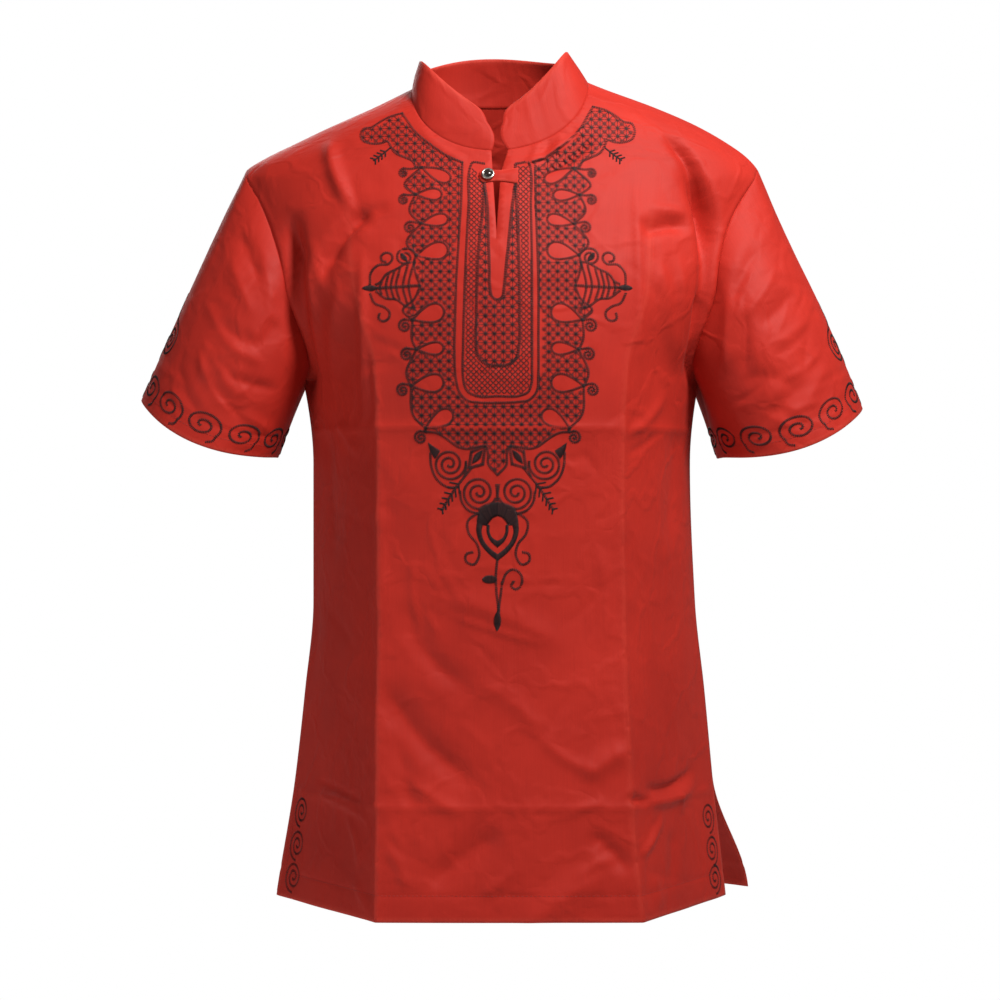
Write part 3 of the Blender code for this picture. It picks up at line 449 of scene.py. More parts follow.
def spaced(start, stop, spacing):
    """Even values from start to stop, no further apart than about the spacing."""
    count = max(1, round(abs(stop - start) / spacing))
    return np.linspace(start, stop, count + 1)


def neck_front(side, steps):
    """Front neckline from the slit to a neck point: a squarish quarter ellipse, as t and drop."""
    slit_x = SLIT[0][0] if side > 0 else -SLIT[0][1]
    start = math.asin((slit_x / NECK_HALF) ** (NECK_POWER / 2))
    angle = np.linspace(start, math.pi / 2, 361)
    x = side * NECK_HALF * np.sin(angle) ** (2 / NECK_POWER)
    rise = NECK_SIDE_RISE * (1 + x / NECK_HALF)
    bottom = NECK_FRONT + NECK_FRONT_TILT * np.maximum(x, 0.0)
    z = rise + (bottom - rise) * np.maximum(np.cos(angle), 0.0) ** (2 / NECK_POWER)
    t = t_at(-1, x, -z)
    t[-1] = side
    length = run_along(body_base(-1, t, -z))
    place = np.linspace(0.0, length[-1], steps + 1)
    return np.interp(place, length, t), np.interp(place, length, -z)


def neck_back(steps):
    """Back neckline from the neck point at -X to the one at +X, as t and drop."""
    t = np.linspace(-1.0, 1.0, steps + 1)
    return t, -NECK_SIDE_RISE * (1 + t) + NECK_BACK_DIP * np.cos(np.pi / 2 * t)


def armhole(side, angle):
    """Armhole edge of a panel, as t and drop: angle 0 is the shoulder tip, pi the armpit."""
    drop = SHOULDER_TIP + (1 - np.cos(angle)) / 2 * (ARMPIT - SHOULDER_TIP)
    return side * (1 - armhole_cut(drop)), drop


def slit_edge(spacing):
    """Down the slit's edge at -X and up the one at +X, without its ends on the neckline."""
    rows = np.asarray(SLIT)
    down = spaced(rows[0, 2], rows[-1, 2], spacing)[1:]
    low = t_at(-1, np.interp(down, rows[:, 2], rows[:, 1]), down)
    high = t_at(-1, np.interp(down, rows[:, 2], rows[:, 0]), down)
    return np.concatenate([low, high[-2::-1]]), np.concatenate([down, down[-2::-1]])


def panel_outline(face, spacing):
    """A panel's cut edge, as one closed run of t and drop."""
    if face < 0:
        run = [np.stack(neck_front(1, round(NECK_FRONT_RUN / spacing)), axis=1)]
    else:
        run = [np.stack(neck_back(round(NECK_BACK_RUN / spacing)), axis=1)]
    for side in (1, -1):
        shoulder = spaced(-NECK_SIDE_RISE * (1 + side), SHOULDER_TIP, spacing / SHOULDER_STRETCH)[1:-1]
        arm_t, arm_drop = armhole(side, np.linspace(0.0, math.pi, round(ARMHOLE_RUN / spacing)))
        seam = spaced(ARMPIT, HEM, spacing)[1:]
        half = np.concatenate([
            np.stack([np.full(len(shoulder), float(side)), shoulder], axis=1),
            np.stack([arm_t, arm_drop], axis=1),
            np.stack([np.full(len(seam), float(side)), seam], axis=1),
        ])
        run.append(half if side > 0 else half[::-1])
        if side > 0:
            hem = spaced(1.0, -1.0, spacing / HALF_GIRTH)[1:-1]
            run.append(np.stack([hem, np.full(len(hem), HEM)], axis=1))
    if face < 0:
        run.append(np.stack(neck_front(-1, round(NECK_FRONT_RUN / spacing)), axis=1)[::-1])
        run.append(np.stack(slit_edge(spacing), axis=1))
    return np.concatenate(run)


def within(places, outlines):
    """Whether places are inside an odd number of closed outlines: a level ray crosses their sides."""
    x0, y0 = np.concatenate(outlines).T
    x1, y1 = np.concatenate([np.roll(line, -1, axis=0) for line in outlines]).T
    height = np.where(y1 == y0, 1.0, y1 - y0)
    found = []
    for part in np.array_split(places, max(1, len(places) // 3000)):
        x, y = part[:, 0, None], part[:, 1, None]
        crossing = x0 + (y - y0) * (x1 - x0) / height
        found.append(np.sum(((y0 > y) != (y1 > y)) & (x < crossing), axis=1) % 2 == 1)
    return np.concatenate(found)


def clearance(places, others):
    """Distance from each place to the nearest of the others."""
    found = []
    for part in np.array_split(places, max(1, len(places) // 4000)):
        gap = np.hypot(part[:, 0, None] - others[:, 0], part[:, 1, None] - others[:, 1])
        found.append(gap.min(axis=1))
    return np.concatenate(found)


def panel_places(border, spacing):
    """Mesh places of a panel: a net of even triangles, with rows on the creases and the hem stitching."""
    low, high = border.min(axis=0), border.max(axis=0)
    rows = np.arange(low[1], high[1], spacing * math.sqrt(3) / 2)
    columns = np.arange(low[0], high[0], spacing)
    net = np.stack(np.meshgrid(columns, rows), axis=-1)
    net[1::2, :, 0] += spacing / 2
    down = spaced(low[1], high[1], spacing)
    lines = [np.stack([np.full(len(down), side * CREASE_T * HALF_GIRTH), down], axis=1) for side in (-1, 1)]
    hem_row = pattern(0.0, HEM - HEM_DEEP)[1]
    across = spaced(-HALF_GIRTH, HALF_GIRTH, spacing)
    for shift in (-HEM_GROOVE_WIDTH, 0.0, HEM_GROOVE_WIDTH):
        lines.append(np.stack([across, np.full(len(across), hem_row + shift)], axis=1))
    for row in PRESSED_ROWS:
        lines.append(np.stack([across, np.full(len(across), pattern(0.0, row)[1])], axis=1))
    places = [lines[0]]
    for more in lines[1:] + [net.reshape(-1, 2)]:
        kept = np.concatenate(places)
        limit = LINE_GAP if len(more) < 1000 else PLACE_GAP * spacing
        places.append(more[clearance(more, kept) > limit])
    places = np.concatenate(places)
    places = places[within(places, [border])]
    return places[clearance(places, border) > PLACE_GAP * spacing]


def triangulate(border, places):
    """Triangles that fill an outline and use every place in it."""
    every = [Vector(place) for place in np.concatenate([border, places]).tolist()]
    count = len(border)
    edges = [(k, (k + 1) % count) for k in range(count)]
    verts, _, faces, _, _, _ = delaunay_2d_cdt(every, edges, [], 1, 1e-7)
    return np.array([tuple(v) for v in verts]), np.array(faces)


def face_normals(points, faces):
    """Face normals, as long as twice the face's area."""
    corners = points[faces]
    return np.cross(corners[:, 1] - corners[:, 0], corners[:, 2] - corners[:, 0])


def point_normals(points, faces):
    """Point normals: the mean of the faces round each point, weighted by their area."""
    flat = face_normals(points, faces)
    total = np.zeros_like(points)
    for axis in range(3):
        for k in range(3):
            total[:, axis] += np.bincount(faces[:, k], weights=flat[:, axis], minlength=len(points))
    return unit(total)


def make_mesh(name, points, faces, places=None, wear=None, sharp=40.0):
    """A smooth-shaded mesh object, with a flat cloth map and a wear value where they are given."""
    mesh = bpy.data.meshes.new(name)
    mesh.from_pydata(np.asarray(points).tolist(), [], np.asarray(faces).tolist())
    mesh.shade_smooth()
    if sharp:
        mesh.set_sharp_from_angle(angle=math.radians(sharp))
    if places is not None:
        corner = np.empty(len(mesh.loops), np.int32)
        mesh.loops.foreach_get("vertex_index", corner)
        flat = mesh.uv_layers.new(name="cloth")
        flat.data.foreach_set("uv", np.asarray(places, np.float32)[corner].ravel())
    if wear is not None:
        worn = mesh.attributes.new("wear", "FLOAT", "POINT")
        worn.data.foreach_set("value", np.asarray(wear, np.float32))
    made = bpy.data.objects.new(name, mesh)
    bpy.context.scene.collection.objects.link(made)
    return made


def cloth_wall(name, points, faces, normals, thickness, places, wear):
    """A closed cloth wall: the outer faces, the same faces turned over inside, and a rounded rim.

    The rim's middle row stands out from the open edge by under half the wall's thickness.
    """
    count = len(points)
    inner = points - normals * thickness
    sides = np.concatenate([faces[:, [0, 1]], faces[:, [1, 2]], faces[:, [2, 0]]])
    codes = sides[:, 0] * count + sides[:, 1]
    lone = sides[~np.isin(codes, sides[:, 1] * count + sides[:, 0])]
    edge = np.unique(lone)
    slot_of = np.zeros(count, int)
    slot_of[edge] = np.arange(len(edge))
    away = np.zeros((len(edge), 3))
    ahead = unit(points[lone[:, 1]] - points[lone[:, 0]])
    for k in range(2):
        np.add.at(away, slot_of[lone[:, k]], np.cross(ahead, normals[lone[:, k]]))
    middle = (points[edge] + inner[edge]) / 2 + unit(away) * thickness * RIM_REACH
    a, b = lone[:, 0], lone[:, 1]
    rim_a, rim_b = 2 * count + slot_of[a], 2 * count + slot_of[b]
    rim = np.concatenate([
        np.stack([b, a, rim_a], axis=1), np.stack([b, rim_a, rim_b], axis=1),
        np.stack([rim_b, rim_a, a + count], axis=1), np.stack([rim_b, a + count, b + count], axis=1),
    ])
    every = np.concatenate([points, inner, middle])
    skin = np.concatenate([faces, faces[:, ::-1] + count, rim])
    flat = np.concatenate([places, places, places[edge]])
    worn = np.concatenate([wear, wear, wear[edge]])
    return make_mesh(name, every, skin, flat, worn, CLOTH_SHARP)


def outward_faces(points, faces, normals):
    """Faces wound so that they point along the normals."""
    turned = np.sum(face_normals(points, faces) * normals[faces[:, 0]], axis=1) < 0
    return np.where(turned[:, None], faces[:, ::-1], faces)


def set_inputs(node, inputs):
    """Give a node's inputs their values, or link one where another node's output is given."""
    for key, value in inputs.items():
        if isinstance(value, bpy.types.NodeSocket):
            node.id_data.links.new(value, node.inputs[key])
        else:
            node.inputs[key].default_value = value


def add_node(tree, kind, inputs, **settings):
    """A new shader node with its settings and inputs."""
    node = tree.nodes.new("ShaderNode" + kind)
    for key, value in settings.items():
        setattr(node, key, value)
    set_inputs(node, inputs)
    return node


def new_material(name, inputs):
    """A material whose shader has the given inputs."""
    material = bpy.data.materials.new(name)
    material.use_nodes = True
    set_inputs(material.node_tree.nodes["Principled BSDF"], inputs)
    return material


def polished_cotton(name, seed):
    """Plain-weave red cotton with a calendered sheen.

    Two crossed wave patterns on the cloth map give warp and weft. Long noise gives slubs, slow noise
    gives uneven dye, the edges of bent cells give faint creases, and the wear value lightens worn
    folded edges and, on the body panels, paints a highlight along the pressed creases.
    """
    material = new_material(name, {"Specular IOR Level": 0.16, "Sheen Weight": 0.03,
                                   "Sheen Roughness": 0.45, "Sheen Tint": SHEEN_TINT})
    tree = material.node_tree
    flat = add_node(tree, "UVMap", {}, uv_map="cloth").outputs["UV"]
    thread = {"Vector": flat, "Scale": math.pi / (10 * THREAD_PITCH), "Distortion": 0.6, "Detail": 1.0}
    warp = add_node(tree, "TexWave", thread, wave_type="BANDS", bands_direction="X")
    weft = add_node(tree, "TexWave", thread, wave_type="BANDS", bands_direction="Y")
    weave = add_node(tree, "Math", {0: warp.outputs["Fac"], 1: weft.outputs["Fac"]}, operation="MULTIPLY")
    fine = add_node(tree, "Bump", {"Strength": 0.30, "Distance": 0.00010, "Height": weave.outputs["Value"]})

    long_way = add_node(tree, "Mapping", {"Vector": flat, "Location": (seed, 0.0, 0.0),
                                          "Scale": (900.0, 22.0, 1.0)})
    slub = add_node(tree, "TexNoise", {"Vector": long_way.outputs["Vector"], "Scale": 1.0, "Detail": 2.0,
                                       "Roughness": 0.5}).outputs["Fac"]
    coarse = add_node(tree, "Bump", {"Strength": 0.10, "Distance": 0.0006, "Height": slub,
                                     "Normal": fine.outputs["Normal"]})

    dye = add_node(tree, "TexNoise", {"Vector": flat, "Scale": 9.0 + seed, "Detail": 4.0,
                                      "Roughness": 0.6}).outputs["Fac"]
    tone = add_node(tree, "Math", {0: slub, 1: 0.20}, operation="MULTIPLY").outputs["Value"]
    mottle = add_node(tree, "Math", {0: dye, 1: 0.80, 2: tone}, operation="MULTIPLY_ADD")
    ramp = add_node(tree, "ValToRGB", {"Fac": mottle.outputs["Value"]})
    for element, place, shade in zip(ramp.color_ramp.elements, (0.34, 0.66), (RED_DEEP, RED)):
        element.position = place
        element.color = (*shade, 1.0)
    # The wear value mixes in the lighter red: real wear at folded edges, and on the body panels a painted
    # highlight along the pressed creases.
    worn = add_node(tree, "Attribute", {}, attribute_name="wear").outputs["Fac"]
    edge = add_node(tree, "Math", {0: worn, 1: slub}, operation="MULTIPLY").outputs["Value"]
    colour = add_node(tree, "Mix", {"Factor": edge, "A": ramp.outputs["Color"], "B": (*RED_WORN_AND_HIGHLIGHT, 1.0)},
                      data_type="RGBA")
    rough = add_node(tree, "MapRange", {"Value": dye, "To Min": 0.50, "To Max": 0.68})

    bent = add_node(tree, "TexNoise", {"Vector": flat, "Scale": 14.0, "Detail": 3.0, "Roughness": 0.55})
    sway = add_node(tree, "VectorMath", {0: bent.outputs["Color"], 1: (0.10, 0.10, 0.10)},
                    operation="MULTIPLY")
    swayed = add_node(tree, "VectorMath", {0: flat, 1: sway.outputs["Vector"]}, operation="ADD")
    cells = add_node(tree, "TexVoronoi", {"Vector": swayed.outputs["Vector"], "Scale": 17.0 + seed},
                     feature="DISTANCE_TO_EDGE")
    ridge = add_node(tree, "MapRange", {"Value": cells.outputs["Distance"], "From Max": 0.16,
                                        "To Min": 1.0, "To Max": 0.0}, interpolation_type="SMOOTHSTEP")
    faint = add_node(tree, "Math", {0: ridge.outputs["Result"], 1: dye}, operation="MULTIPLY")
    creased = add_node(tree, "Bump", {"Strength": 0.40, "Distance": 0.0020,
                                      "Height": faint.outputs["Value"], "Normal": coarse.outputs["Normal"]})
    set_inputs(tree.nodes["Principled BSDF"], {
        "Base Color": colour.outputs["Result"], "Roughness": rough.outputs["Result"],
        "Normal": creased.outputs["Normal"],
    })
    return material


def build_panel(name, face, spacing, grid):
    """Cut a panel by its outline, lay it on the finished surface and give it its wall."""
    outline = panel_outline(face, spacing)
    border = pattern(outline[:, 0], outline[:, 1])
    places, faces = triangulate(border, panel_places(border, spacing))
    t, drop = from_pattern(places)
    on_seam = np.abs(np.abs(t) - 1) < 1e-5
    t = np.where(on_seam, np.sign(t), t)
    points = read_grid(grid[0], t, drop)
    guide = read_grid(grid[1], t, drop)
    faces = outward_faces(points, faces, guide)
    normals = point_normals(points, faces)
    level = normals * np.array([1.0, 0.0, 1.0])
    normals = np.where((on_seam & (drop < VENT_TOP))[:, None], unit(level), normals)
    from_hem = (HEM - drop) / EDGE_WEAR
    from_vent = np.where(drop > VENT_TOP, (1 - np.abs(t)) * HALF_GIRTH / EDGE_WEAR, 9.0)
    wear = np.clip(1.0 - np.minimum(from_hem, from_vent), 0.0, 1.0) * HEM_WEAR
    # Painted highlight: a lighter line along the pressed creases, stored in the wear value together with the
    # real wear at the hem and vents.
    painted_crease_highlight = np.exp(-np.abs(np.abs(t) - CREASE_T) * HALF_GIRTH / CREASE_HIGHLIGHT_WIDTH)
    painted_crease_highlight = painted_crease_highlight * smooth((drop - CREASE_HIGHLIGHT_TOP) / CREASE_HIGHLIGHT_EASE)
    wear = np.maximum(wear, CREASE_HIGHLIGHT_PAINT * painted_crease_highlight)
    return cloth_wall(name, points, faces, normals, CLOTH, places, wear)


front_small = crumples(11, 90, (-0.150, -0.700), (0.150, -0.300), 0.25)
front_chest = crumples(12, 26, (-0.140, -0.290), (0.140, -0.090), -0.1, 1.5)
front_grid = body_grid(-1, FRONT_FOLDS, [*FRONT_WRINKLES, *front_small, *front_chest], 3)
front = build_panel("front_cloth", -1, FRONT_SPACING, front_grid)
front.data.materials.append(polished_cotton("front_cotton", 0.3))
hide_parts("front")
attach(front, "root")

# Back
# The real back is one length of the same cotton, a little shorter at the neck, and joined to the
# front at the shoulders and down the sides as far as the vents.
BACK_FOLDS = (
    # main folds: x, z, x, z, x, z, half width, rise
    (-0.162, -0.105, -0.174, -0.175, -0.160, -0.262, 0.016, -0.0100),
    (0.164, -0.100, 0.176, -0.170, 0.162, -0.265, 0.016, -0.0100),
    (-0.150, -0.300, -0.128, -0.370, -0.092, -0.430, 0.020, -0.0050),
    (0.154, -0.310, 0.122, -0.390, 0.080, -0.440, 0.020, -0.0050),
    (-0.070, -0.480, -0.020, -0.515, 0.050, -0.525, 0.024, 0.0050),
    (-0.080, -0.740, -0.062, -0.660, -0.070, -0.570, 0.022, -0.0060),
    (0.060, -0.740, 0.048, -0.650, 0.066, -0.560, 0.022, -0.0060),
    (-0.010, -0.740, -0.006, -0.680, 0.004, -0.610, 0.026, 0.0050),
)
BACK_WRINKLES = (
    # finer folds: x, z, x, z, x, z, half width, rise
    (-0.140, -0.120, -0.110, -0.150, -0.080, -0.158, 0.010, 0.0032),
    (0.140, -0.118, 0.112, -0.146, 0.084, -0.160, 0.010, 0.0032),
    (-0.146, -0.200, -0.128, -0.225, -0.112, -0.262, 0.011, 0.0035),
    (0.148, -0.196, 0.126, -0.228, 0.116, -0.260, 0.011, 0.0032),
    (-0.060, -0.040, -0.030, -0.052, 0.010, -0.054, 0.010, 0.0022),
    (0.020, -0.056, 0.048, -0.050, 0.070, -0.036, 0.009, 0.0022),
    (-0.120, -0.340, -0.096, -0.392, -0.052, -0.424, 0.010, 0.0035),
    (0.124, -0.346, 0.094, -0.402, 0.050, -0.430, 0.010, 0.0032),
    (-0.090, -0.455, -0.040, -0.482, 0.010, -0.486, 0.009, -0.0032),
    (0.010, -0.548, 0.052, -0.556, 0.096, -0.540, 0.010, -0.0035),
    (-0.100, -0.540, -0.088, -0.590, -0.092, -0.650, 0.010, 0.0038),
    (0.096, -0.560, 0.088, -0.620, 0.096, -0.690, 0.010, 0.0035),
    (0.030, -0.600, 0.026, -0.650, 0.032, -0.715, 0.011, 0.0032),
    (-0.036, -0.600, -0.038, -0.650, -0.030, -0.712, 0.011, -0.0032),
    (-0.150, -0.500, -0.140, -0.560, -0.146, -0.620, 0.013, 0.0038),
    (0.156, -0.500, 0.146, -0.570, 0.152, -0.640, 0.013, 0.0035),
)
BACK_SPACING = 0.0042

back_small = crumples(21, 110, (-0.150, -0.700), (0.150, -0.080), 0.1)
back_grid = body_grid(1, BACK_FOLDS, [*BACK_WRINKLES, *back_small], 5)
back = build_panel("back_cloth", 1, BACK_SPACING, back_grid)
back.data.materials.append(polished_cotton("back_cotton", 0.7))
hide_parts("back")
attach(back, "root")

# Sleeves
# Each real sleeve is one piece of the cotton, closed under the arm, set into the armhole with a
# plain seam and turned up once at the cuff. It keeps the soft folds of a raised arm's cloth.
SLEEVE_FOLDS = {
    -1: (
        # x, z, x, z, x, z, half width, rise
        (-0.232, -0.128, -0.219, -0.156, -0.206, -0.182, 0.016, -0.0030),
        (-0.250, -0.212, -0.231, -0.226, -0.210, -0.240, 0.015, -0.0024),
        (-0.260, -0.258, -0.239, -0.284, -0.218, -0.306, 0.016, -0.0030),
        (-0.216, -0.238, -0.202, -0.226, -0.194, -0.208, 0.015, -0.0024),
    ),
    1: (
        # x, z, x, z, x, z, half width, rise
        (0.232, -0.140, 0.212, -0.172, 0.196, -0.204, 0.016, -0.0030),
        (0.262, -0.182, 0.244, -0.202, 0.222, -0.220, 0.015, -0.0024),
        (0.199, -0.176, 0.198, -0.220, 0.198, -0.266, 0.016, 0.0030),
        (0.270, -0.262, 0.248, -0.284, 0.226, -0.304, 0.016, -0.0024),
    ),
}
SLEEVE_WRINKLES = {
    -1: (
        # x, z, x, z, x, z, half width, rise
        (-0.264, -0.226, -0.252, -0.270, -0.222, -0.304, 0.010, 0.0019),
        (-0.246, -0.222, -0.226, -0.240, -0.204, -0.250, 0.010, 0.0017),
        (-0.244, -0.258, -0.218, -0.268, -0.192, -0.272, 0.011, -0.0024),
        (-0.240, -0.150, -0.226, -0.184, -0.214, -0.212, 0.011, 0.0016),
        (-0.262, -0.186, -0.248, -0.214, -0.236, -0.232, 0.010, 0.0012),
        (-0.284, -0.242, -0.274, -0.276, -0.256, -0.300, 0.010, -0.0013),
        (-0.232, -0.292, -0.214, -0.300, -0.200, -0.312, 0.010, 0.0013),
        (-0.212, -0.150, -0.202, -0.178, -0.196, -0.204, 0.010, 0.0014),
    ),
    1: (
        # x, z, x, z, x, z, half width, rise
        (0.204, -0.268, 0.234, -0.262, 0.262, -0.276, 0.015, -0.0019),
        (0.248, -0.296, 0.264, -0.288, 0.282, -0.283, 0.007, 0.0012),
        (0.246, -0.160, 0.228, -0.190, 0.208, -0.214, 0.010, 0.0018),
        (0.272, -0.206, 0.254, -0.224, 0.230, -0.238, 0.010, 0.0014),
        (0.212, -0.200, 0.214, -0.236, 0.210, -0.262, 0.010, -0.0018),
        (0.288, -0.246, 0.276, -0.270, 0.262, -0.286, 0.011, 0.0013),
        (0.222, -0.290, 0.242, -0.300, 0.262, -0.312, 0.010, 0.0012),
    ),
}
CUFF = {
    # side: outer x, outer z, inner x, inner z
    -1: (0.3215, -0.2790, 0.1990, -0.3310),
    1: (0.3250, -0.2860, 0.1965, -0.3310),
}
CUFF_DEPTH = 0.078
CUFF_FRONT_DIP = 0.015
CUFF_BACK_DIP = 0.006
CUFF_TURN = 0.020
SLEEVE_FULLNESS = 0.45
SLEEVE_EASE = 0.2
SLEEVE_RADIUS = 0.075
SLEEVE_STEPS = 104
SLEEVE_ROWS = 84


def closed_normals(rings, turn):
    """Normals of a grid of rings: the cross of the way down and the way round."""
    down = np.gradient(rings, axis=0)
    around = np.roll(rings, -1, axis=1) - np.roll(rings, 1, axis=1)
    return unit(np.cross(down, around)) * turn


def sleeve_surface(side):
    """Rings from the armhole to the cuff, each from the shoulder round the front and the back.

    Each line down the sleeve is a cubic that leaves the armhole full and ends along the sleeve. The
    rings are evenly spaced along every line, so that the last share of a line is its distance to the hem.
    """
    angle = np.linspace(0.0, 2 * math.pi, 2 * SLEEVE_STEPS, endpoint=False)
    t, drop = armhole(side, angle)
    on_front = (angle <= math.pi)[:, None]
    start = np.where(on_front, read_grid(front_grid[0], t, drop), read_grid(back_grid[0], t, drop))
    start[[0, SLEEVE_STEPS], 1] = 0.0
    outer_x, outer_z, inner_x, inner_z = CUFF[side]
    outer = np.array([side * outer_x, 0.0, outer_z])
    inner = np.array([side * inner_x, 0.0, inner_z])
    across = (outer - inner) / 2
    along = unit(np.array([side * across[2], 0.0, -abs(across[0])]))
    facing = np.sin(angle)[:, None]
    cuff = (outer + inner) / 2 + np.cos(angle)[:, None] * across
    cuff = cuff + np.array([0.0, -CUFF_DEPTH, 0.0]) * facing
    cuff = cuff + along * (CUFF_FRONT_DIP * np.maximum(facing, 0) ** 2)
    cuff = cuff + along * (CUFF_BACK_DIP * np.maximum(-facing, 0) ** 2)
    length = np.linalg.norm(cuff - start, axis=1)[:, None]
    leave = unit(unit(cuff - start) + SLEEVE_FULLNESS * np.array([0.0, -1.0, 0.0]) * facing) * length
    arrive = unit(unit(cuff - start) + along) * length
    v = np.linspace(0.0, 1.0, 161)[:, None, None]
    fine = (
        start * (1 + 2 * v) * (1 - v) ** 2
        + cuff * v * v * (3 - 2 * v)
        + leave * v * (1 - v) ** 2
        - arrive * v * v * (1 - v)
    )
    pieces = np.linalg.norm(np.diff(fine, axis=0), axis=2)
    run = np.concatenate([np.zeros((1, len(angle))), np.cumsum(pieces, axis=0)])
    share = run / run[-1]
    even = np.linspace(0.0, 1.0, SLEEVE_ROWS + 1)
    rings = np.stack([points_at(fine[:, k], share[:, k], even) for k in range(len(angle))], axis=1)
    fade = smooth(even[:, None] / SLEEVE_EASE) * np.minimum(np.abs(np.sin(angle)) * 2, 1.0)
    folds = [*SLEEVE_FOLDS[side], *SLEEVE_WRINKLES[side]]
    strewn = crumples(31 + side, 26, (side * 0.25 - 0.05, -0.30), (side * 0.25 + 0.05, -0.13), -0.5 * side)
    rise = fold_height([*folds, *strewn], rings[..., 0], rings[..., 2]) * fade
    round_way = angle * SLEEVE_RADIUS + 0 * rise
    rise += undulation(41 + side, round_way, even[:, None] * run[-1]) * smooth(even[:, None] / SLEEVE_EASE)
    to_hem = (1 - even[:, None]) * run[-1]
    rise -= HEM_GROOVE * np.exp(-((to_hem - CUFF_TURN) / HEM_GROOVE_WIDTH) ** 2)
    rings = rings + closed_normals(rings, -side) * rise[..., None]
    return rings, closed_normals(rings, -side), run[-1]


def ring_faces(rows, columns, closed):
    """Triangles of a grid of points, row by row."""
    last = columns if closed else columns - 1
    row, col = np.meshgrid(np.arange(rows - 1), np.arange(last), indexing="ij")
    here = (row * columns + col).ravel()
    after = (row * columns + (col + 1) % columns).ravel()
    return np.concatenate([
        np.stack([here, here + columns, after + columns], axis=1),
        np.stack([here, after + columns, after], axis=1),
    ])


sleeves = {side: sleeve_surface(side) for side in (-1, 1)}
for side, name, seed in ((-1, "sleeve_right", 1.1), (1, "sleeve_left", 1.6)):
    rings, normals, lengths = sleeves[side]
    rows, columns = rings.shape[:2]
    points = rings.reshape(-1, 3)
    faces = outward_faces(points, ring_faces(rows, columns, True), normals.reshape(-1, 3))
    to_hem = np.linspace(1.0, 0.0, rows)[:, None] * lengths
    around = run_along(np.vstack([rings[-1], rings[-1][:1]]))[:-1]
    flat = np.stack([around + 0 * to_hem, to_hem], axis=-1).reshape(-1, 2)
    wear = np.clip(1 - to_hem / EDGE_WEAR, 0, 1).ravel() * HEM_WEAR
    sleeve = cloth_wall(name + "_cloth", points, faces, point_normals(points, faces), CLOTH, flat, wear)
    sleeve.data.materials.append(polished_cotton(name + "_cotton", seed))
    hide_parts(name)
    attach(sleeve, "root")

# Stand collar
# The real collar is a doubled band of the cotton with a light interlining, sewn round the neckline.
# Its two front corners are rounded and lean forward over the slit.
COLLAR_WALL = 0.0020
COLLAR_TOP_SHRINK = 0.847
COLLAR_TOP_SHIFT = -0.006
COLLAR_TOP_FRONT = -0.030
COLLAR_TOP_SIDE = 0.0247
COLLAR_TOP_SIDE_TILT = 0.055
COLLAR_TOP_BACK = 0.037
COLLAR_DEPTH_SHRINK = 0.86
COLLAR_TOP_POWER = 1.5
COLLAR_BULGE = 0.0012
COLLAR_ROWS = 20
COLLAR_NOSE = 0.35
COLLAR_ROUND = 0.013
COLLAR_NOSE_REACH = 0.004
COLLAR_COLUMNS = 221
COLLAR_LENGTH = 0.44
COLLAR_HEIGHT = 0.038
COLLAR_EASE = 0.012


def collar_surface():
    """The collar's outer surface, from the slit's edge at -X round the back to the one at +X.

    A point is its foot plus a share of the way to the top edge, and a slight bulge. Below the nose
    the ends reach forward by a half sine, and above it a quarter ellipse takes them back.
    """
    low_t, low_drop = neck_front(-1, 60)
    high_t, high_drop = neck_front(1, 60)
    back_t, back_drop = neck_back(90)
    t = np.concatenate([low_t, back_t[1:-1], high_t[::-1]])
    drop = np.concatenate([low_drop, back_drop[1:-1], high_drop[::-1]])
    on_front = np.ones(len(t), bool)
    on_front[len(low_t):len(low_t) + len(back_t) - 2] = False
    foot = np.where(on_front[:, None], read_grid(front_grid[0], t, drop), read_grid(back_grid[0], t, drop))
    foot[[len(low_t) - 1, len(t) - len(high_t)], 1] = 0.0
    top_x = COLLAR_TOP_SHIFT + COLLAR_TOP_SHRINK * foot[:, 0]
    reach = np.minimum(np.abs(foot[:, 0]) / NECK_HALF, 1.0)
    side_z = COLLAR_TOP_SIDE + COLLAR_TOP_SIDE_TILT * foot[:, 0]
    front_z = COLLAR_TOP_FRONT + (side_z - COLLAR_TOP_FRONT) * reach**COLLAR_TOP_POWER
    back_z = side_z + (COLLAR_TOP_BACK - side_z) * (1 - reach**2)
    top = np.stack([top_x, COLLAR_DEPTH_SHRINK * foot[:, 1], np.where(on_front, front_z, back_z)], axis=-1)
    away = unit(foot * np.array([1.0, 1.0, 0.0]))
    rows = []
    for h in np.linspace(0.0, 1.0, COLLAR_ROWS + 1):
        line = foot + (top - foot) * h + away * COLLAR_BULGE * math.sin(math.pi * h)
        first = line[0] + (line[0] - line[1]) * 6
        last = line[-1] + (line[-1] - line[-2]) * 6
        line = np.vstack([first, line, last])
        run = run_along(line)
        above = max(h - COLLAR_NOSE, 0.0) / (1 - COLLAR_NOSE)
        cut = COLLAR_ROUND * (1 - max(1 - above**3, 0.0) ** (1 / 3))
        cut -= COLLAR_NOSE_REACH * math.sin(math.pi * min(h / (2 * COLLAR_NOSE), 1.0))
        place = np.linspace(run[1] + cut, run[-2] - cut, COLLAR_COLUMNS)
        rows.append(points_at(line, run, place))
    return np.stack(rows)


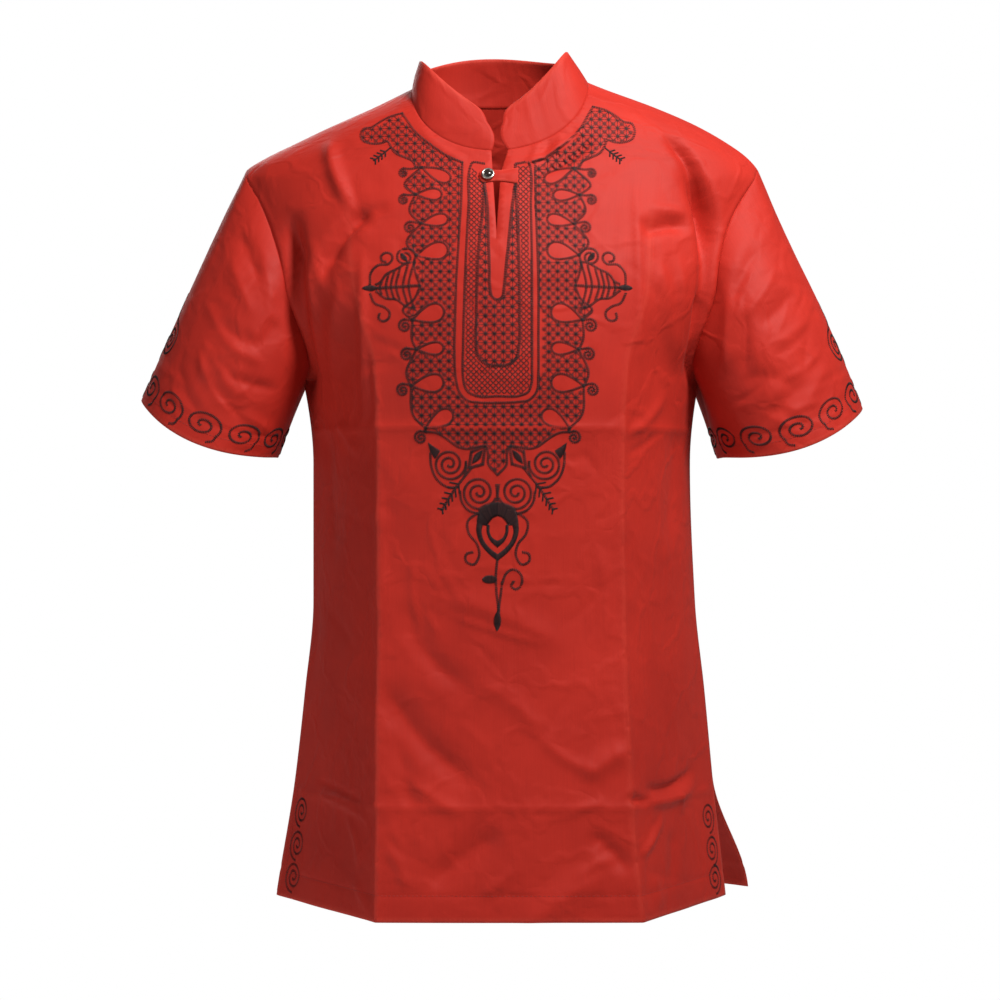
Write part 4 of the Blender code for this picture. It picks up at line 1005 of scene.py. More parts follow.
collar_grid = collar_surface()
collar_down = np.gradient(collar_grid, axis=0)
collar_normals = unit(np.cross(np.gradient(collar_grid, axis=1), collar_down))
inside_out = np.sum(collar_normals * collar_grid * np.array([1.0, 1.0, 0.0]), axis=-1) < 0
collar_normals[inside_out] *= -1
collar_run = np.linspace(0.0, COLLAR_LENGTH, COLLAR_COLUMNS) + np.zeros((COLLAR_ROWS + 1, 1))
collar_rise = np.linspace(0.0, COLLAR_HEIGHT, COLLAR_ROWS + 1)[:, None] + 0 * collar_run
collar_soft = undulation(55, collar_run, collar_rise * 2) * 0.6
collar_soft *= smooth(collar_rise / COLLAR_EASE)
collar_grid = collar_grid + collar_normals * collar_soft[..., None]
collar_points = collar_grid.reshape(-1, 3)
collar_faces = ring_faces(COLLAR_ROWS + 1, COLLAR_COLUMNS, False)
collar_faces = outward_faces(collar_points, collar_faces, collar_normals.reshape(-1, 3))
collar_flat = np.stack([collar_run, collar_rise], axis=-1).reshape(-1, 2)
collar_wear = np.clip((collar_rise - 0.034) / EDGE_WEAR, 0.0, 1.0).ravel() * 0.7
collar = cloth_wall("stand_collar_cloth", collar_points, collar_faces,
                    point_normals(collar_points, collar_faces), COLLAR_WALL, collar_flat, collar_wear)
collar.data.materials.append(polished_cotton("collar_cotton", 2.1))
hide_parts("stand_collar")
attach(collar, "root")

# Button tab
# The real tab is a small doubled strip of the cotton, sewn to the slit's edge at +X. It narrows in
# soft curves towards the button that holds it, and a row of stitches runs inside its edge.
TAB_LEFT = -0.0175
TAB_RIGHT = 0.0150
TAB_DROP = 0.0885
TAB_HEIGHT = 0.0135
TAB_WAIST = 0.0088
TAB_THICK = 0.0018
TAB_ROUND = 0.0050
TAB_PUFF = 0.00035
TAB_GAP = 0.0003
TAB_SIZE = (61, 15)


def tab_half(x):
    """Half height of the tab: full at both ends, a waist between, and the end at -X rounded off."""
    share = np.clip((x - TAB_LEFT) / (TAB_RIGHT - TAB_LEFT), 0.0, 1.0)
    half = (TAB_WAIST + (TAB_HEIGHT - TAB_WAIST) * np.abs(2 * share - 1) ** 1.6) / 2
    from_end = np.clip((x - TAB_LEFT) / TAB_ROUND, 0.0, 1.0)
    return half * np.sqrt(np.maximum(1 - (1 - from_end) ** 2, 0.10))


def on_front(flat):
    """Points and normals of the finished front under flat places: millimetres aside and down."""
    x, drop = flat[:, 0] / 1000, flat[:, 1] / 1000
    t = t_at(-1, x, drop)
    return read_grid(front_grid[0], t, drop), unit(read_grid(front_grid[1], t, drop))


tab_x, tab_share = np.meshgrid(np.linspace(TAB_LEFT, TAB_RIGHT, TAB_SIZE[0]),
                               np.linspace(-1.0, 1.0, TAB_SIZE[1]))
tab_drop = TAB_DROP + tab_share * tab_half(tab_x)
tab_flat = np.stack([tab_x, tab_drop], axis=-1).reshape(-1, 2)
tab_foot, tab_normals = on_front(tab_flat * 1000)
tab_puff = TAB_PUFF * np.cos(np.pi * tab_share.ravel())
tab_points = tab_foot + tab_normals * (TAB_GAP + TAB_THICK + tab_puff)[:, None]
tab_faces = outward_faces(tab_points, ring_faces(TAB_SIZE[1], TAB_SIZE[0], False), tab_normals)
tab_wear = np.clip(np.abs(tab_share.ravel()) * 5 - 4.2, 0.0, 1.0)
tab = cloth_wall("button_tab_cloth", tab_points, tab_faces, point_normals(tab_points, tab_faces),
                 TAB_THICK, tab_flat, tab_wear)
tab.data.materials.append(polished_cotton("tab_cotton", 2.6))
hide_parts("button_tab")
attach(tab, "root")

# Button
# The real button is a small shank button: a satin metal cup with a rolled rim and a glossy dark
# centre. It is sewn on through the tab, and its shank is hidden.
BUTTON_X = -0.0104
BUTTON_GAP = 0.0006
RIM_PROFILE = (
    # radius, height
    (0.0050, 0.0000),
    (0.0055, 0.0004),
    (0.00575, 0.0011),
    (0.0056, 0.0016),
    (0.0052, 0.0020),
    (0.0047, 0.00215),
    (0.0042, 0.0021),
    (0.0038, 0.0018),
    (0.0036, 0.0013),
    (0.0034, 0.0008),
)
DOME_PROFILE = (
    # radius, height
    (0.00335, 0.0009),
    (0.0032, 0.0014),
    (0.0028, 0.0020),
    (0.0022, 0.0024),
    (0.0014, 0.0027),
    (0.0007, 0.00285),
)
BUTTON_STEPS = 64


def turned(name, profile, place, normal, low, high):
    """A closed turned piece: rings of the profile, and a pole below and one above it."""
    angle = np.linspace(0.0, 2 * np.pi, BUTTON_STEPS, endpoint=False)
    side = unit(np.cross(normal, [1.0, 0.0, 0.0]))
    ahead = np.cross(side, normal)
    circle = np.cos(angle)[:, None] * ahead + np.sin(angle)[:, None] * side
    rings = [place + circle * radius + normal * height for radius, height in profile]
    points = np.concatenate([*rings, [place + normal * low], [place + normal * high]])
    faces = ring_faces(len(profile), BUTTON_STEPS, True)
    here = np.arange(BUTTON_STEPS)
    after = (here + 1) % BUTTON_STEPS
    top = (len(profile) - 1) * BUTTON_STEPS
    poles = len(profile) * BUTTON_STEPS + np.zeros(BUTTON_STEPS, int)
    faces = np.concatenate([faces, np.stack([poles, here, after], axis=1),
                            np.stack([poles + 1, top + after, top + here], axis=1)])
    if np.sum(face_normals(points, faces) * (points[faces[:, 0]] - place)) < 0:
        faces = faces[:, ::-1]
    return make_mesh(name, points, faces)


seat, seat_normal = on_front(np.array([[BUTTON_X, TAB_DROP]]) * 1000)
button_seat = seat[0] + seat_normal[0] * (BUTTON_GAP + TAB_THICK)
rim = turned("button_rim_ring", RIM_PROFILE, button_seat, seat_normal[0], 0.0, 0.0006)
rim.data.materials.append(new_material("satin_metal", {
    "Base Color": (0.50, 0.47, 0.43, 1.0), "Metallic": 1.0, "Roughness": 0.28,
}))
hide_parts("button_rim")
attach(rim, "root")
dome = turned("button_dome_centre", DOME_PROFILE, button_seat, seat_normal[0], 0.0008, 0.0029)
dome.data.materials.append(new_material("dark_gloss", {
    "Base Color": (0.020, 0.011, 0.009, 1.0), "Roughness": 0.12, "Coat Weight": 0.6,
}))
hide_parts("button_dome")
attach(dome, "root")

# Yoke outlines
# The real yoke is machine sewn in dark thread on the front: corded lines down both sides of the slit,
# two bands, a scalloped border with drops and curls, and a pendant of scrolls below.
# The layout is in millimetres: u out from the middle line, then the drop. Most of it is mirrored.
YOKE_MIDDLE = -2.1
NECK_LIFT = 5.4
NECK_LIFT_FOOT = 66.0
NECK_LIFT_EASE = 37.0
THREAD_DARK = (0.016, 0.007, 0.009)
THREAD_WORN = (0.045, 0.016, 0.016)
CORD_PITCH = 1.50
CORD_LENGTH = 2.9
CORD_SLANT = 1.22
CORD = (1.05, 0.55)
SATIN = (0.95, 0.60)
FINE_CORD = 1.7
THICK_CORD = 3.6
SLIT_LINE = (
    (-11.8, 94.0), (-8.9, 115.0), (-8.1, 142.4), (-7.0, 171.1), (-6.4, 189.4), (-4.6, 196.6), (-0.2, 199.3),
    (4.2, 196.6), (5.5, 189.4), (7.2, 171.1), (10.1, 142.4), (12.1, 121.9), (15.2, 94.0), (15.6, 77.3),
)
INNER_LINE = (
    (-11.8, 94.0), (-12.5, 118.5), (-15.3, 142.4), (-17.3, 182.8), (-18.1, 215.0), (-18.1, 238.6),
    (-15.6, 249.0), (-9.0, 254.3), (-0.2, 254.9), (9.0, 254.3), (15.8, 249.0), (18.2, 238.6), (18.6, 215.0),
    (18.5, 182.8), (17.8, 149.2), (16.7, 121.9), (15.6, 77.3),
)
INNER_BAND = (
    (-11.5, 77.0), (-22.6, 77.0), (-23.3, 79.0), (-24.9, 115.0), (-26.8, 157.6), (-28.2, 199.3),
    (-29.1, 238.6), (-29.1, 264.7), (-28.2, 271.0), (-25.3, 277.0), (-18.8, 280.5), (-0.2, 281.0),
    (20.1, 280.2), (25.6, 277.8), (28.6, 271.0), (29.1, 256.6), (29.3, 215.7), (29.2, 157.6),
    (28.6, 115.0), (28.0, 79.0), (27.4, 77.0), (16.4, 77.0),
)
OUTER_BAND = (
    (-30.6, 76.4), (-31.5, 115.0), (-33.4, 149.2), (-35.2, 182.8), (-36.0, 215.7), (-36.4, 248.4),
    (-35.1, 267.3), (-32.6, 277.0), (-25.3, 284.8), (-15.6, 286.4), (-0.2, 286.7), (16.8, 285.9),
    (26.6, 284.3), (33.9, 275.4), (34.4, 268.0), (34.7, 232.1), (34.8, 182.8), (33.5, 132.2), (32.5, 77.3),
)
NECK_LINE = ((-30.6, 76.4), (-42.6, 71.1), (-57.6, 60.5), (-72.8, 46.5), (-79.6, 36.0), (-83.9, 28.8))
SHOULDER_LOBE = (
    (-83.9, 28.8), (-94.7, 31.6), (-104.6, 36.9), (-111.2, 41.3), (-117.9, 42.2), (-120.3, 47.4),
    (-118.5, 53.5), (-111.0, 57.0), (-101.0, 57.0), (-96.0, 55.6), (-93.4, 60.5), (-89.2, 66.7),
    (-80.8, 71.1), (-74.1, 74.6), (-70.7, 80.8),
)
SCALLOPS = (
    # curl u, drop, radius; drop's tip u, drop; its fat end u, drop; its width; border between tips u, drop
    (-81.4, 85.5, 4.2, -66.0, 80.5, -40.8, 92.5, 11.5, -80.3, 97.5),
    (-80.9, 109.8, 4.7, -71.0, 105.0, -48.0, 105.6, 10.5, -75.8, 120.2),
    (-75.2, 134.7, 5.2, -66.0, 131.4, -42.6, 126.6, 11.0, -77.9, 149.2),
    (-79.4, 161.0, 7.6, -70.0, 159.4, -42.6, 154.0, 15.5, -68.6, 179.5),
    (-79.0, 220.6, 5.7, -72.5, 215.6, -45.8, 207.0, 16.0, -72.5, 233.7),
    (-77.3, 245.1, 5.4, -69.0, 240.8, -45.6, 240.0, 11.0, -77.2, 263.1),
    (-80.5, 275.4, 5.4, -73.5, 271.9, -45.6, 268.6, 15.5, -70.8, 298.1),
    (-65.1, 315.9, 5.6, -61.0, 308.0, -38.2, 294.5, 14.0, -61.1, 311.0),
)
FROND_ROOT = (-66.1, 186.1)
BELOW_FROND = (-80.7, 207.5)
BORDER_FOOT = (
    (-61.1, 311.0), (-52.9, 311.8), (-44.8, 315.9), (-38.3, 320.8), (-33.5, 324.0), (-25.4, 325.6),
    (-16.0, 323.6), (-9.9, 323.2), (-8.0, 330.0), (-7.8, 338.6), (-0.2, 347.5),
)
DIAMOND = ((-10.4, 323.2), (-22.1, 328.1), (-24.1, 341.9), (-12.4, 338.6))
SCROLL = (
    (-9.0, 378.0), (-18.0, 380.8), (-25.3, 387.3), (-24.5, 397.0), (-17.2, 406.8), (-15.6, 416.5),
    (-20.5, 423.8), (-27.0, 420.6), (-26.2, 414.6), (-21.3, 413.3),
)
FRONDLET = ((-22.1, 341.9), (-28.6, 350.0), (-35.1, 358.1), (-41.6, 368.0), (-47.3, 377.6))
FROND_CURLS = (
    ((-109.3, 184.5), (-108.6, 174.5), (-102.2, 167.8), (-93.2, 166.9), (-90.0, 162.7), (-91.0, 158.6),
     (-96.0, 157.0), (-99.9, 160.2), (-99.0, 164.4), (-95.7, 165.2)),
    ((-109.3, 192.7), (-105.1, 200.9), (-97.0, 204.2), (-92.1, 209.1), (-93.0, 214.0), (-98.0, 216.4),
     (-101.8, 214.0), (-101.0, 209.8)),
)
FROND_TOP = ((-104.0, 184.6), (-100.4, 182.8), (-95.5, 176.2), (-87.4, 172.0), (-76.1, 166.1), (-70.4, 165.2))
FROND_FOOT = ((-104.0, 190.4), (-95.4, 196.8), (-87.3, 197.6), (-77.5, 204.2), (-70.4, 206.4))
STEM = ((-0.2, 420.6), (-1.4, 433.0), (-1.0, 445.7), (0.6, 464.3), (0.0, 470.0))


def evened(line, spacing):
    """The same line with even points, about a spacing apart."""
    run = run_along(line)
    return points_at(line, run, np.linspace(0.0, run[-1], max(2, round(run[-1] / spacing) + 1)))


def curve(points, spacing=CORD_PITCH):
    """A smooth line through a few points: cubics whose slopes weigh both neighbouring chords."""
    points = np.asarray(points, float)
    length = np.linalg.norm(np.diff(points, axis=0), axis=1)[:, None]
    chord = np.diff(points, axis=0) / length
    middle = (chord[1:] * length[:-1] + chord[:-1] * length[1:]) / (length[1:] + length[:-1])
    slope = np.vstack([chord[:1], middle, chord[-1:]])
    s = np.linspace(0.0, 1.0, 25)[:, None, None]
    parts = (
        points[:-1] * (1 + 2 * s) * (1 - s) ** 2
        + points[1:] * s * s * (3 - 2 * s)
        + slope[:-1] * length * s * (1 - s) ** 2
        - slope[1:] * length * s * s * (1 - s)
    )
    return evened(parts.transpose(1, 0, 2).reshape(-1, 2), spacing)


def spiral(centre, radius, turns, ends, hand, squash=1.0, spacing=CORD_PITCH):
    """A spiral with even gaps, from 0.14 of its radius out to the angle where it ends."""
    share = np.linspace(0.0, 1.0, 181)
    angle = ends - hand * 2 * np.pi * turns * (1 - share)
    reach = radius * (0.14 + 0.86 * share)
    line = np.stack([np.cos(angle) * reach * squash, np.sin(angle) * reach], axis=1)
    return evened(np.asarray(centre, float) + line, spacing)


def teardrop(tip, end, width, spacing=CORD_PITCH):
    """A drop's outline from its tip round its fat end.

    Across, it goes as sin(s) sin(s / 2)^1.3, of which 1.46 is twice the greatest value.
    """
    s = np.linspace(0.0, 2 * np.pi, 121)
    tip, end = np.asarray(tip, float), np.asarray(end, float)
    way = end - tip
    aside = np.array([-way[1], way[0]]) / np.linalg.norm(way)
    across = width / 1.46 * np.sin(s) * np.abs(np.sin(s / 2)) ** 1.3
    return evened(tip + (1 - np.cos(s))[:, None] / 2 * way + across[:, None] * aside, spacing)


def mirrored(line):
    """The same line on the other side; near the neck it sits up to 5.4 mm higher, as the neckline does."""
    line = np.array(line, float)
    lift = NECK_LIFT * smooth((NECK_LIFT_FOOT - line[:, 1]) / NECK_LIFT_EASE)
    return np.stack([-line[:, 0], line[:, 1] - lift], axis=1)


def cord(lines, slant=CORD_SLANT, length=CORD_LENGTH):
    """Slanted stitches set close along lines, each as its two ends."""
    found = []
    for line in lines:
        way = unit(np.gradient(line, axis=0))
        leaning = np.stack([way[:, 0] * np.cos(slant) - way[:, 1] * np.sin(slant),
                            way[:, 0] * np.sin(slant) + way[:, 1] * np.cos(slant)], axis=1)
        found.append(np.stack([line - leaning * length / 2, line + leaning * length / 2], axis=1))
    return np.concatenate(found)


def satin(first, second, spacing=0.80):
    """Stitches from one line across to another, which fill the shape between them."""
    count = max(3, round(max(len(evened(first, spacing)), len(evened(second, spacing)))))
    ends = []
    for line in (first, second):
        run = run_along(line)
        ends.append(points_at(line, run, np.linspace(0.0, run[-1], count)))
    return np.stack(ends, axis=1)


def leaf(tip, end, width, fullness=1.0):
    """A filled leaf: satin stitches across between its two bowed edges, sin(pi s) to a power."""
    tip, end = np.asarray(tip, float), np.asarray(end, float)
    way = end - tip
    aside = np.array([-way[1], way[0]]) / np.linalg.norm(way)
    s = np.linspace(0.0, 1.0, 41)[:, None]
    bow = np.maximum(np.sin(np.pi * s), 0.0) ** fullness * width / 2
    return satin(tip + way * s + aside * bow, tip + way * s - aside * bow)


def thread_cotton(name, low, high):
    """Embroidery thread with a soft shine; the wear value sets each stitch's tone between two."""
    material = new_material(name, {"Roughness": 0.50, "Specular IOR Level": 0.20, "Sheen Weight": 0.04})
    tree = material.node_tree
    tone = add_node(tree, "Attribute", {}, attribute_name="wear").outputs["Fac"]
    colour = add_node(tree, "Mix", {"Factor": tone, "A": (*low, 1.0), "B": (*high, 1.0)}, data_type="RGBA")
    set_inputs(tree.nodes["Principled BSDF"], {"Base Color": colour.outputs["Result"]})
    return material


def sew(name, lay, groups, material):
    """Sew stitches as small closed spindles on the cloth: two points and two rings of four each.

    Each group holds stitches as pairs of flat ends, and their width and height in millimetres.
    """
    ring_order = np.array([[0, 1, 2], [0, 2, 3], [0, 3, 4], [0, 4, 1]])
    band = np.array([[1, 5, 2], [2, 6, 3], [3, 7, 4], [4, 8, 1], [5, 6, 2], [6, 7, 3], [7, 8, 4], [8, 5, 1]])
    cap = np.array([[5, 9, 6], [6, 9, 7], [7, 9, 8], [8, 9, 5]])
    pattern_faces = np.concatenate([ring_order, band, cap])
    points, tones, total = [], [], 0
    chance = np.random.default_rng(7)
    for stitches, width, height in groups:
        start, up_start = lay(stitches[:, 0])
        end, up_end = lay(stitches[:, 1])
        up = unit(up_start + up_end)
        along = end - start
        aside = unit(np.cross(up, along))
        high, half = height / 1000, width / 2000
        rows = [start + up * high * 0.1]
        for share in (0.20, 0.80):
            place = start + along * share
            rows += [place + up * high, place + aside * half + up * high * 0.2,
                     place - up * high * 0.5, place - aside * half + up * high * 0.2]
        rows.append(end + up * high * 0.1)
        points.append(np.stack(rows, axis=1).reshape(-1, 3))
        tones.append(np.repeat(chance.uniform(0.0, 1.0, len(stitches)), 10))
        total += len(stitches)
    faces = (np.arange(total)[:, None, None] * 10 + pattern_faces).reshape(-1, 3)
    made = make_mesh(name, np.concatenate(points), faces, None, np.concatenate(tones), 0.0)
    made.data.materials.append(material)
    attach(made, "root")
    return made


def on_yoke(flat):
    """The finished front under places of the yoke layout."""
    return on_front(flat + np.array([YOKE_MIDDLE, 0.0]))


dark_thread = thread_cotton("dark_embroidery_thread", THREAD_DARK, THREAD_WORN)
tips = [np.array(row[3:5]) for row in SCALLOPS]
drops = [teardrop(row[3:5], row[5:7], row[7]) for row in SCALLOPS]
border = [curve(SHOULDER_LOBE), curve([SHOULDER_LOBE[-1], tips[0]])]
for k, row in enumerate(SCALLOPS[:-1]):
    if k == 3:
        border.append(curve([tips[k], (-71.5, 169.0), row[8:10], FROND_ROOT]))
        border.append(curve([FROND_ROOT, (-70.5, 197.0), BELOW_FROND, tips[k + 1]]))
    else:
        border.append(curve([tips[k], row[8:10], tips[k + 1]]))
border.append(curve([tips[-1], BORDER_FOOT[0]]))
border.append(curve(BORDER_FOOT))
curls = []
for row in SCALLOPS:
    centre, tip = np.array(row[0:2]), np.array(row[3:5])
    curls.append(spiral(centre, row[2], 1.7, -math.pi / 2, 1))
    curls.append(curve([centre + (0.0, -row[2]), centre + (row[2] * 0.9, -row[2] * 0.85), tip]))
ribs = []
for k, u in enumerate((-100.9, -95.4, -91.1, -86.7, -80.6, -75.7)):
    top = np.interp(-u, [-row[0] for row in FROND_TOP[::-1]], [row[1] for row in FROND_TOP[::-1]])
    foot = np.interp(-u, [-row[0] for row in FROND_FOOT[::-1]], [row[1] for row in FROND_FOOT[::-1]])
    lean = 1.6 + 0.5 * k
    ribs.append(curve([(u + lean, top), (u, 187.4), (u + lean, foot)]))
barbs = []
for s in np.linspace(0.42, 0.98, 6):
    at = np.array([np.interp(s, np.linspace(0, 1, 5), column) for column in np.array(FRONDLET).T])
    reach = 9.0 * (1.15 - 0.75 * s)
    barbs.append(curve([at, at + (-reach, -0.2 * reach)], 0.9))
    barbs.append(curve([at, at + (0.1 * reach, reach)], 0.9))
twig = [curve([(-93.6, 62.0), (-101.0, 68.0), (-108.0, 73.0)], 0.9)]
for s in (0.3, 0.5, 0.7, 0.9):
    at = np.array([-93.6 - 14.4 * s, 62.0 + 11.0 * s])
    twig.append(curve([at, at + (-4.2, -1.4)], 0.9))
    twig.append(curve([at, at + (0.2, 4.5)], 0.9))
diamond = [curve([DIAMOND[k], DIAMOND[(k + 1) % 4]]) for k in range(4)]
thick_half = [*diamond, curve([FROND_ROOT, (-90.0, 187.2), (-104.0, 187.6)])]
half_lines = [
    curve(NECK_LINE), *border, *drops, *curls, *ribs,
    curve(FROND_TOP), curve(FROND_FOOT), *[curve(line) for line in FROND_CURLS],
    spiral((-40.8, 338.4), 14.2, 2.4, -0.15, -1), curve([(-26.8, 336.5), (-26.4, 341.0), (-28.0, 349.0)]),
    curve([(-57.2, 329.0), (-56.4, 340.0), (-51.6, 351.4), (-42.0, 358.2), (-34.0, 358.0)]),
    spiral((-15.8, 362.6), 15.0, 2.4, 0.35, -1),
    curve([(-31.8, 362.0), (-30.4, 370.6), (-25.0, 377.6), (-15.0, 381.0)]),
    curve(FRONDLET), curve(SCROLL), curve([(-1.0, 356.0), (-0.2, 364.0), (-0.2, 369.0)]),
]
fine_half = [*barbs, *twig]
thick_whole = [curve(SLIT_LINE), curve(INNER_LINE)]
whole_lines = [
    curve(INNER_BAND), curve(OUTER_BAND), curve(STEM),
    curve([(3.9, 439.2), (8.0, 430.6), (12.0, 427.9), (18.2, 430.2), (20.9, 436.0), (18.8, 442.8),
           (15.2, 444.9), (11.6, 441.6), (13.6, 438.0)]),
    curve([(3.9, 439.2), (2.8, 449.0), (1.4, 458.7), (1.0, 466.0)]),
]
yoke_cords = np.concatenate([
    cord([*whole_lines, *half_lines, *[mirrored(line) for line in half_lines]]),
    cord([*thick_whole, *thick_half, *[mirrored(line) for line in thick_half]], length=THICK_CORD),
    cord([*fine_half, *[mirrored(line) for line in fine_half]], length=FINE_CORD),
])
pendant_top = curve([(-0.2, 369.0), (-7.0, 370.6), (-14.8, 374.0), (-17.2, 380.5), (-17.8, 387.0)])
pendant_inside = curve([(-0.2, 383.4), (-3.4, 384.6), (-6.4, 388.0), (-8.8, 391.0), (-11.4, 390.5)])
pendant_edge = curve([(-17.8, 386.0), (-18.4, 394.0), (-15.4, 405.0), (-9.0, 413.6), (-0.2, 421.0)])
pendant_lining = curve([(-11.6, 388.5), (-13.2, 395.0), (-11.2, 403.2), (-6.0, 409.8), (-0.2, 414.4)])
oval_edge = curve([(-9.6, 389.5), (-9.2, 397.0), (-5.8, 404.4), (-0.2, 409.6)])
oval_lining = curve([(-6.6, 391.0), (-6.4, 396.4), (-4.2, 400.8), (-0.2, 403.2)])
half_fills = [
    satin(pendant_top, pendant_inside), satin(pendant_edge, pendant_lining), satin(oval_edge, oval_lining),
    satin(curve([(-59.0, 320.0), (-57.2, 329.0), (-53.8, 334.6)]),
          curve([(-59.0, 320.0), (-53.4, 323.6), (-48.4, 326.4)])),
    leaf((-103.0, 187.6), (-115.2, 187.8), 6.4, 0.6),
    leaf((-12.6, 326.4), (-21.6, 338.4), 6.4),
    leaf((-83.0, 157.4), (-77.4, 164.6), 5.0, 0.6),
]
whole_fills = [
    leaf((-12.8, 436.4), (-0.6, 436.2), 8.6, 0.5),
    leaf((0.2, 463.0), (-0.4, 480.0), 7.2, 0.7),
]
fills = np.concatenate([
    *whole_fills, *half_fills,
    *[np.stack([mirrored(group[:, 0]), mirrored(group[:, 1])], axis=1) for group in half_fills],
])
sew("yoke_cords", on_yoke, [(yoke_cords, *CORD), (fills, *SATIN)], dark_thread)

# Yoke fills
# The real yoke is filled between its lines: dark eight-rayed stars on a thin net, and red-brown ones
# between them, in the outer yoke and inside the slit lines, and a finer braid between the inner lines.
STAR_PITCH = 7.7
BRAID_PITCH = 4.7
STAR_REACH = 2.9
GROUND_REACH = 0.95
NET_THREAD = (0.84, 0.36)
RAY_THREAD = (0.84, 0.46)
GROUND_THREAD = (0.86, 0.34)
GROUND_RED = (0.105, 0.012, 0.011)
GROUND_BROWN = (0.190, 0.016, 0.013)


def net(pitch, steps, offset, box):
    """The knots of a net, and its stitches: from each knot towards its neighbours, cut in two."""
    knots = np.stack(np.meshgrid(np.arange(box[0], box[2], pitch), np.arange(box[1], box[3], pitch)), axis=-1)
    knots = knots.reshape(-1, 2) + offset
    found = []
    for step in np.asarray(steps, float) * pitch:
        found.append(np.stack([knots, knots + step / 2], axis=1))
        found.append(np.stack([knots + step / 2, knots + step], axis=1))
    return knots, np.concatenate(found)


def kept_inside(stitches, outlines):
    """Only the stitches whose middle and both ends are in the outlines."""
    inside = within(stitches.mean(axis=1), outlines)
    for end in (0, 1):
        inside &= within(stitches[:, end], outlines)
    return stitches[inside]


half_yoke = np.concatenate([
    curve(OUTER_BAND[:11]), curve(BORDER_FOOT)[::-1],
    *[line[::-1] for line in border[-2::-1]], curve(NECK_LINE)[::-1],
])
yoke_regions = [half_yoke, mirrored(half_yoke)]
yoke_drops = [shape for line in drops for shape in (line, mirrored(line))]
slit_region = np.concatenate([curve(SLIT_LINE), curve(INNER_LINE)[::-1]])
braid_region = np.concatenate([curve(INNER_BAND)[9:-9], curve(INNER_LINE)[::-1]])
box = (-126.0, 20.0, 126.0, 352.0)
knots, star_net = net(STAR_PITCH, ((1, 0), (0, 1), (1, 1), (1, -1)), (0.15, 0.0), box)
star_regions = [*yoke_regions, *yoke_drops, slit_region]
ray_ends = np.array([[(1.0, 0.0), (0.0, 1.0), (0.7, 0.7), (0.7, -0.7)]]) * STAR_REACH
rays = np.stack([knots[:, None] - ray_ends, knots[:, None] + ray_ends], axis=2).reshape(-1, 2, 2)
_, braid = net(BRAID_PITCH, ((1, 1), (1, -1)), (0.15, 0.5), box)
fine_threads = np.concatenate([kept_inside(star_net, star_regions), kept_inside(braid, [braid_region])])
sew("yoke_fills", on_yoke, [(fine_threads, *NET_THREAD), (kept_inside(rays, star_regions), *RAY_THREAD)],
    dark_thread)
red_brown_thread = thread_cotton("red_brown_fill_thread", GROUND_RED, GROUND_BROWN)
middles = knots + STAR_PITCH / 2
short_ends = ray_ends * GROUND_REACH
short_rays = np.stack([middles[:, None] - short_ends, middles[:, None] + short_ends], axis=2)
sew("yoke_ground", on_yoke, [(kept_inside(short_rays.reshape(-1, 2, 2), star_regions), *GROUND_THREAD)],
    red_brown_thread)

# Cuff and sleeve scrolls
# Each real sleeve carries a row of two-turn scrolls round the cuff, just above the turned hem, and a
# larger motif of scrolls and a leaf on its outer side.
CUFF_SCROLLS = 12
CUFF_SCROLL_SIZE = (18.0, 12.0)
CUFF_SCROLL_RISE = 17.5
CUFF_SCROLL_TURNS = 1.75
CUFF_TAIL = (
    # shares of the scroll's width and height from its middle
    (0.86, -0.50),
    (0.80, -0.90),
    (0.52, -1.12),
)
MOTIF_SCROLL = (30.0, 62.0)
MOTIF_RADIUS = 16.0
MOTIF_TURNS = 2.3
MOTIF_LINES = (
    ((30.0, 78.0), (18.0, 84.0), (3.0, 104.0)),
    ((13.0, 62.0), (7.0, 54.0), (0.0, 42.0)),
    ((17.0, 51.0), (12.0, 46.0), (3.0, 40.0)),
)
MOTIF_LEAVES = (
    # tip, end, width
    ((0.0, 74.0), (0.0, 100.0), 9.0),
    ((0.0, 48.0), (0.0, 66.0), 5.0),
)


def on_sleeve(side):
    """A function that lays flat places on a sleeve, and the girth of its cuff.

    A flat place is in millimetres, round from the sleeve's top line and up from its hem.
    """
    rings, normals, lengths = sleeves[side]
    rows, columns = rings.shape[:2]
    around = run_along(np.vstack([rings[-1], rings[-1][:1]])) * 1000

    def lay(flat):
        column = np.interp(flat[:, 0] % around[-1], around, np.arange(columns + 1))
        c0 = np.floor(column).astype(int) % columns
        c1, a = (c0 + 1) % columns, (column % 1)[:, None]
        reach = lengths[c0] * (1 - a[:, 0]) + lengths[c1] * a[:, 0]
        row = np.clip((1 - flat[:, 1] / 1000 / reach) * (rows - 1), 0, rows - 1.001)
        r0, b = np.floor(row).astype(int), (row % 1)[:, None]
        laid = []
        for grid in (rings, normals):
            near = grid[r0, c0] * (1 - a) + grid[r0, c1] * a
            far = grid[r0 + 1, c0] * (1 - a) + grid[r0 + 1, c1] * a
            laid.append(near * (1 - b) + far * b)
        return laid[0], unit(laid[1])

    return lay, around[-1]


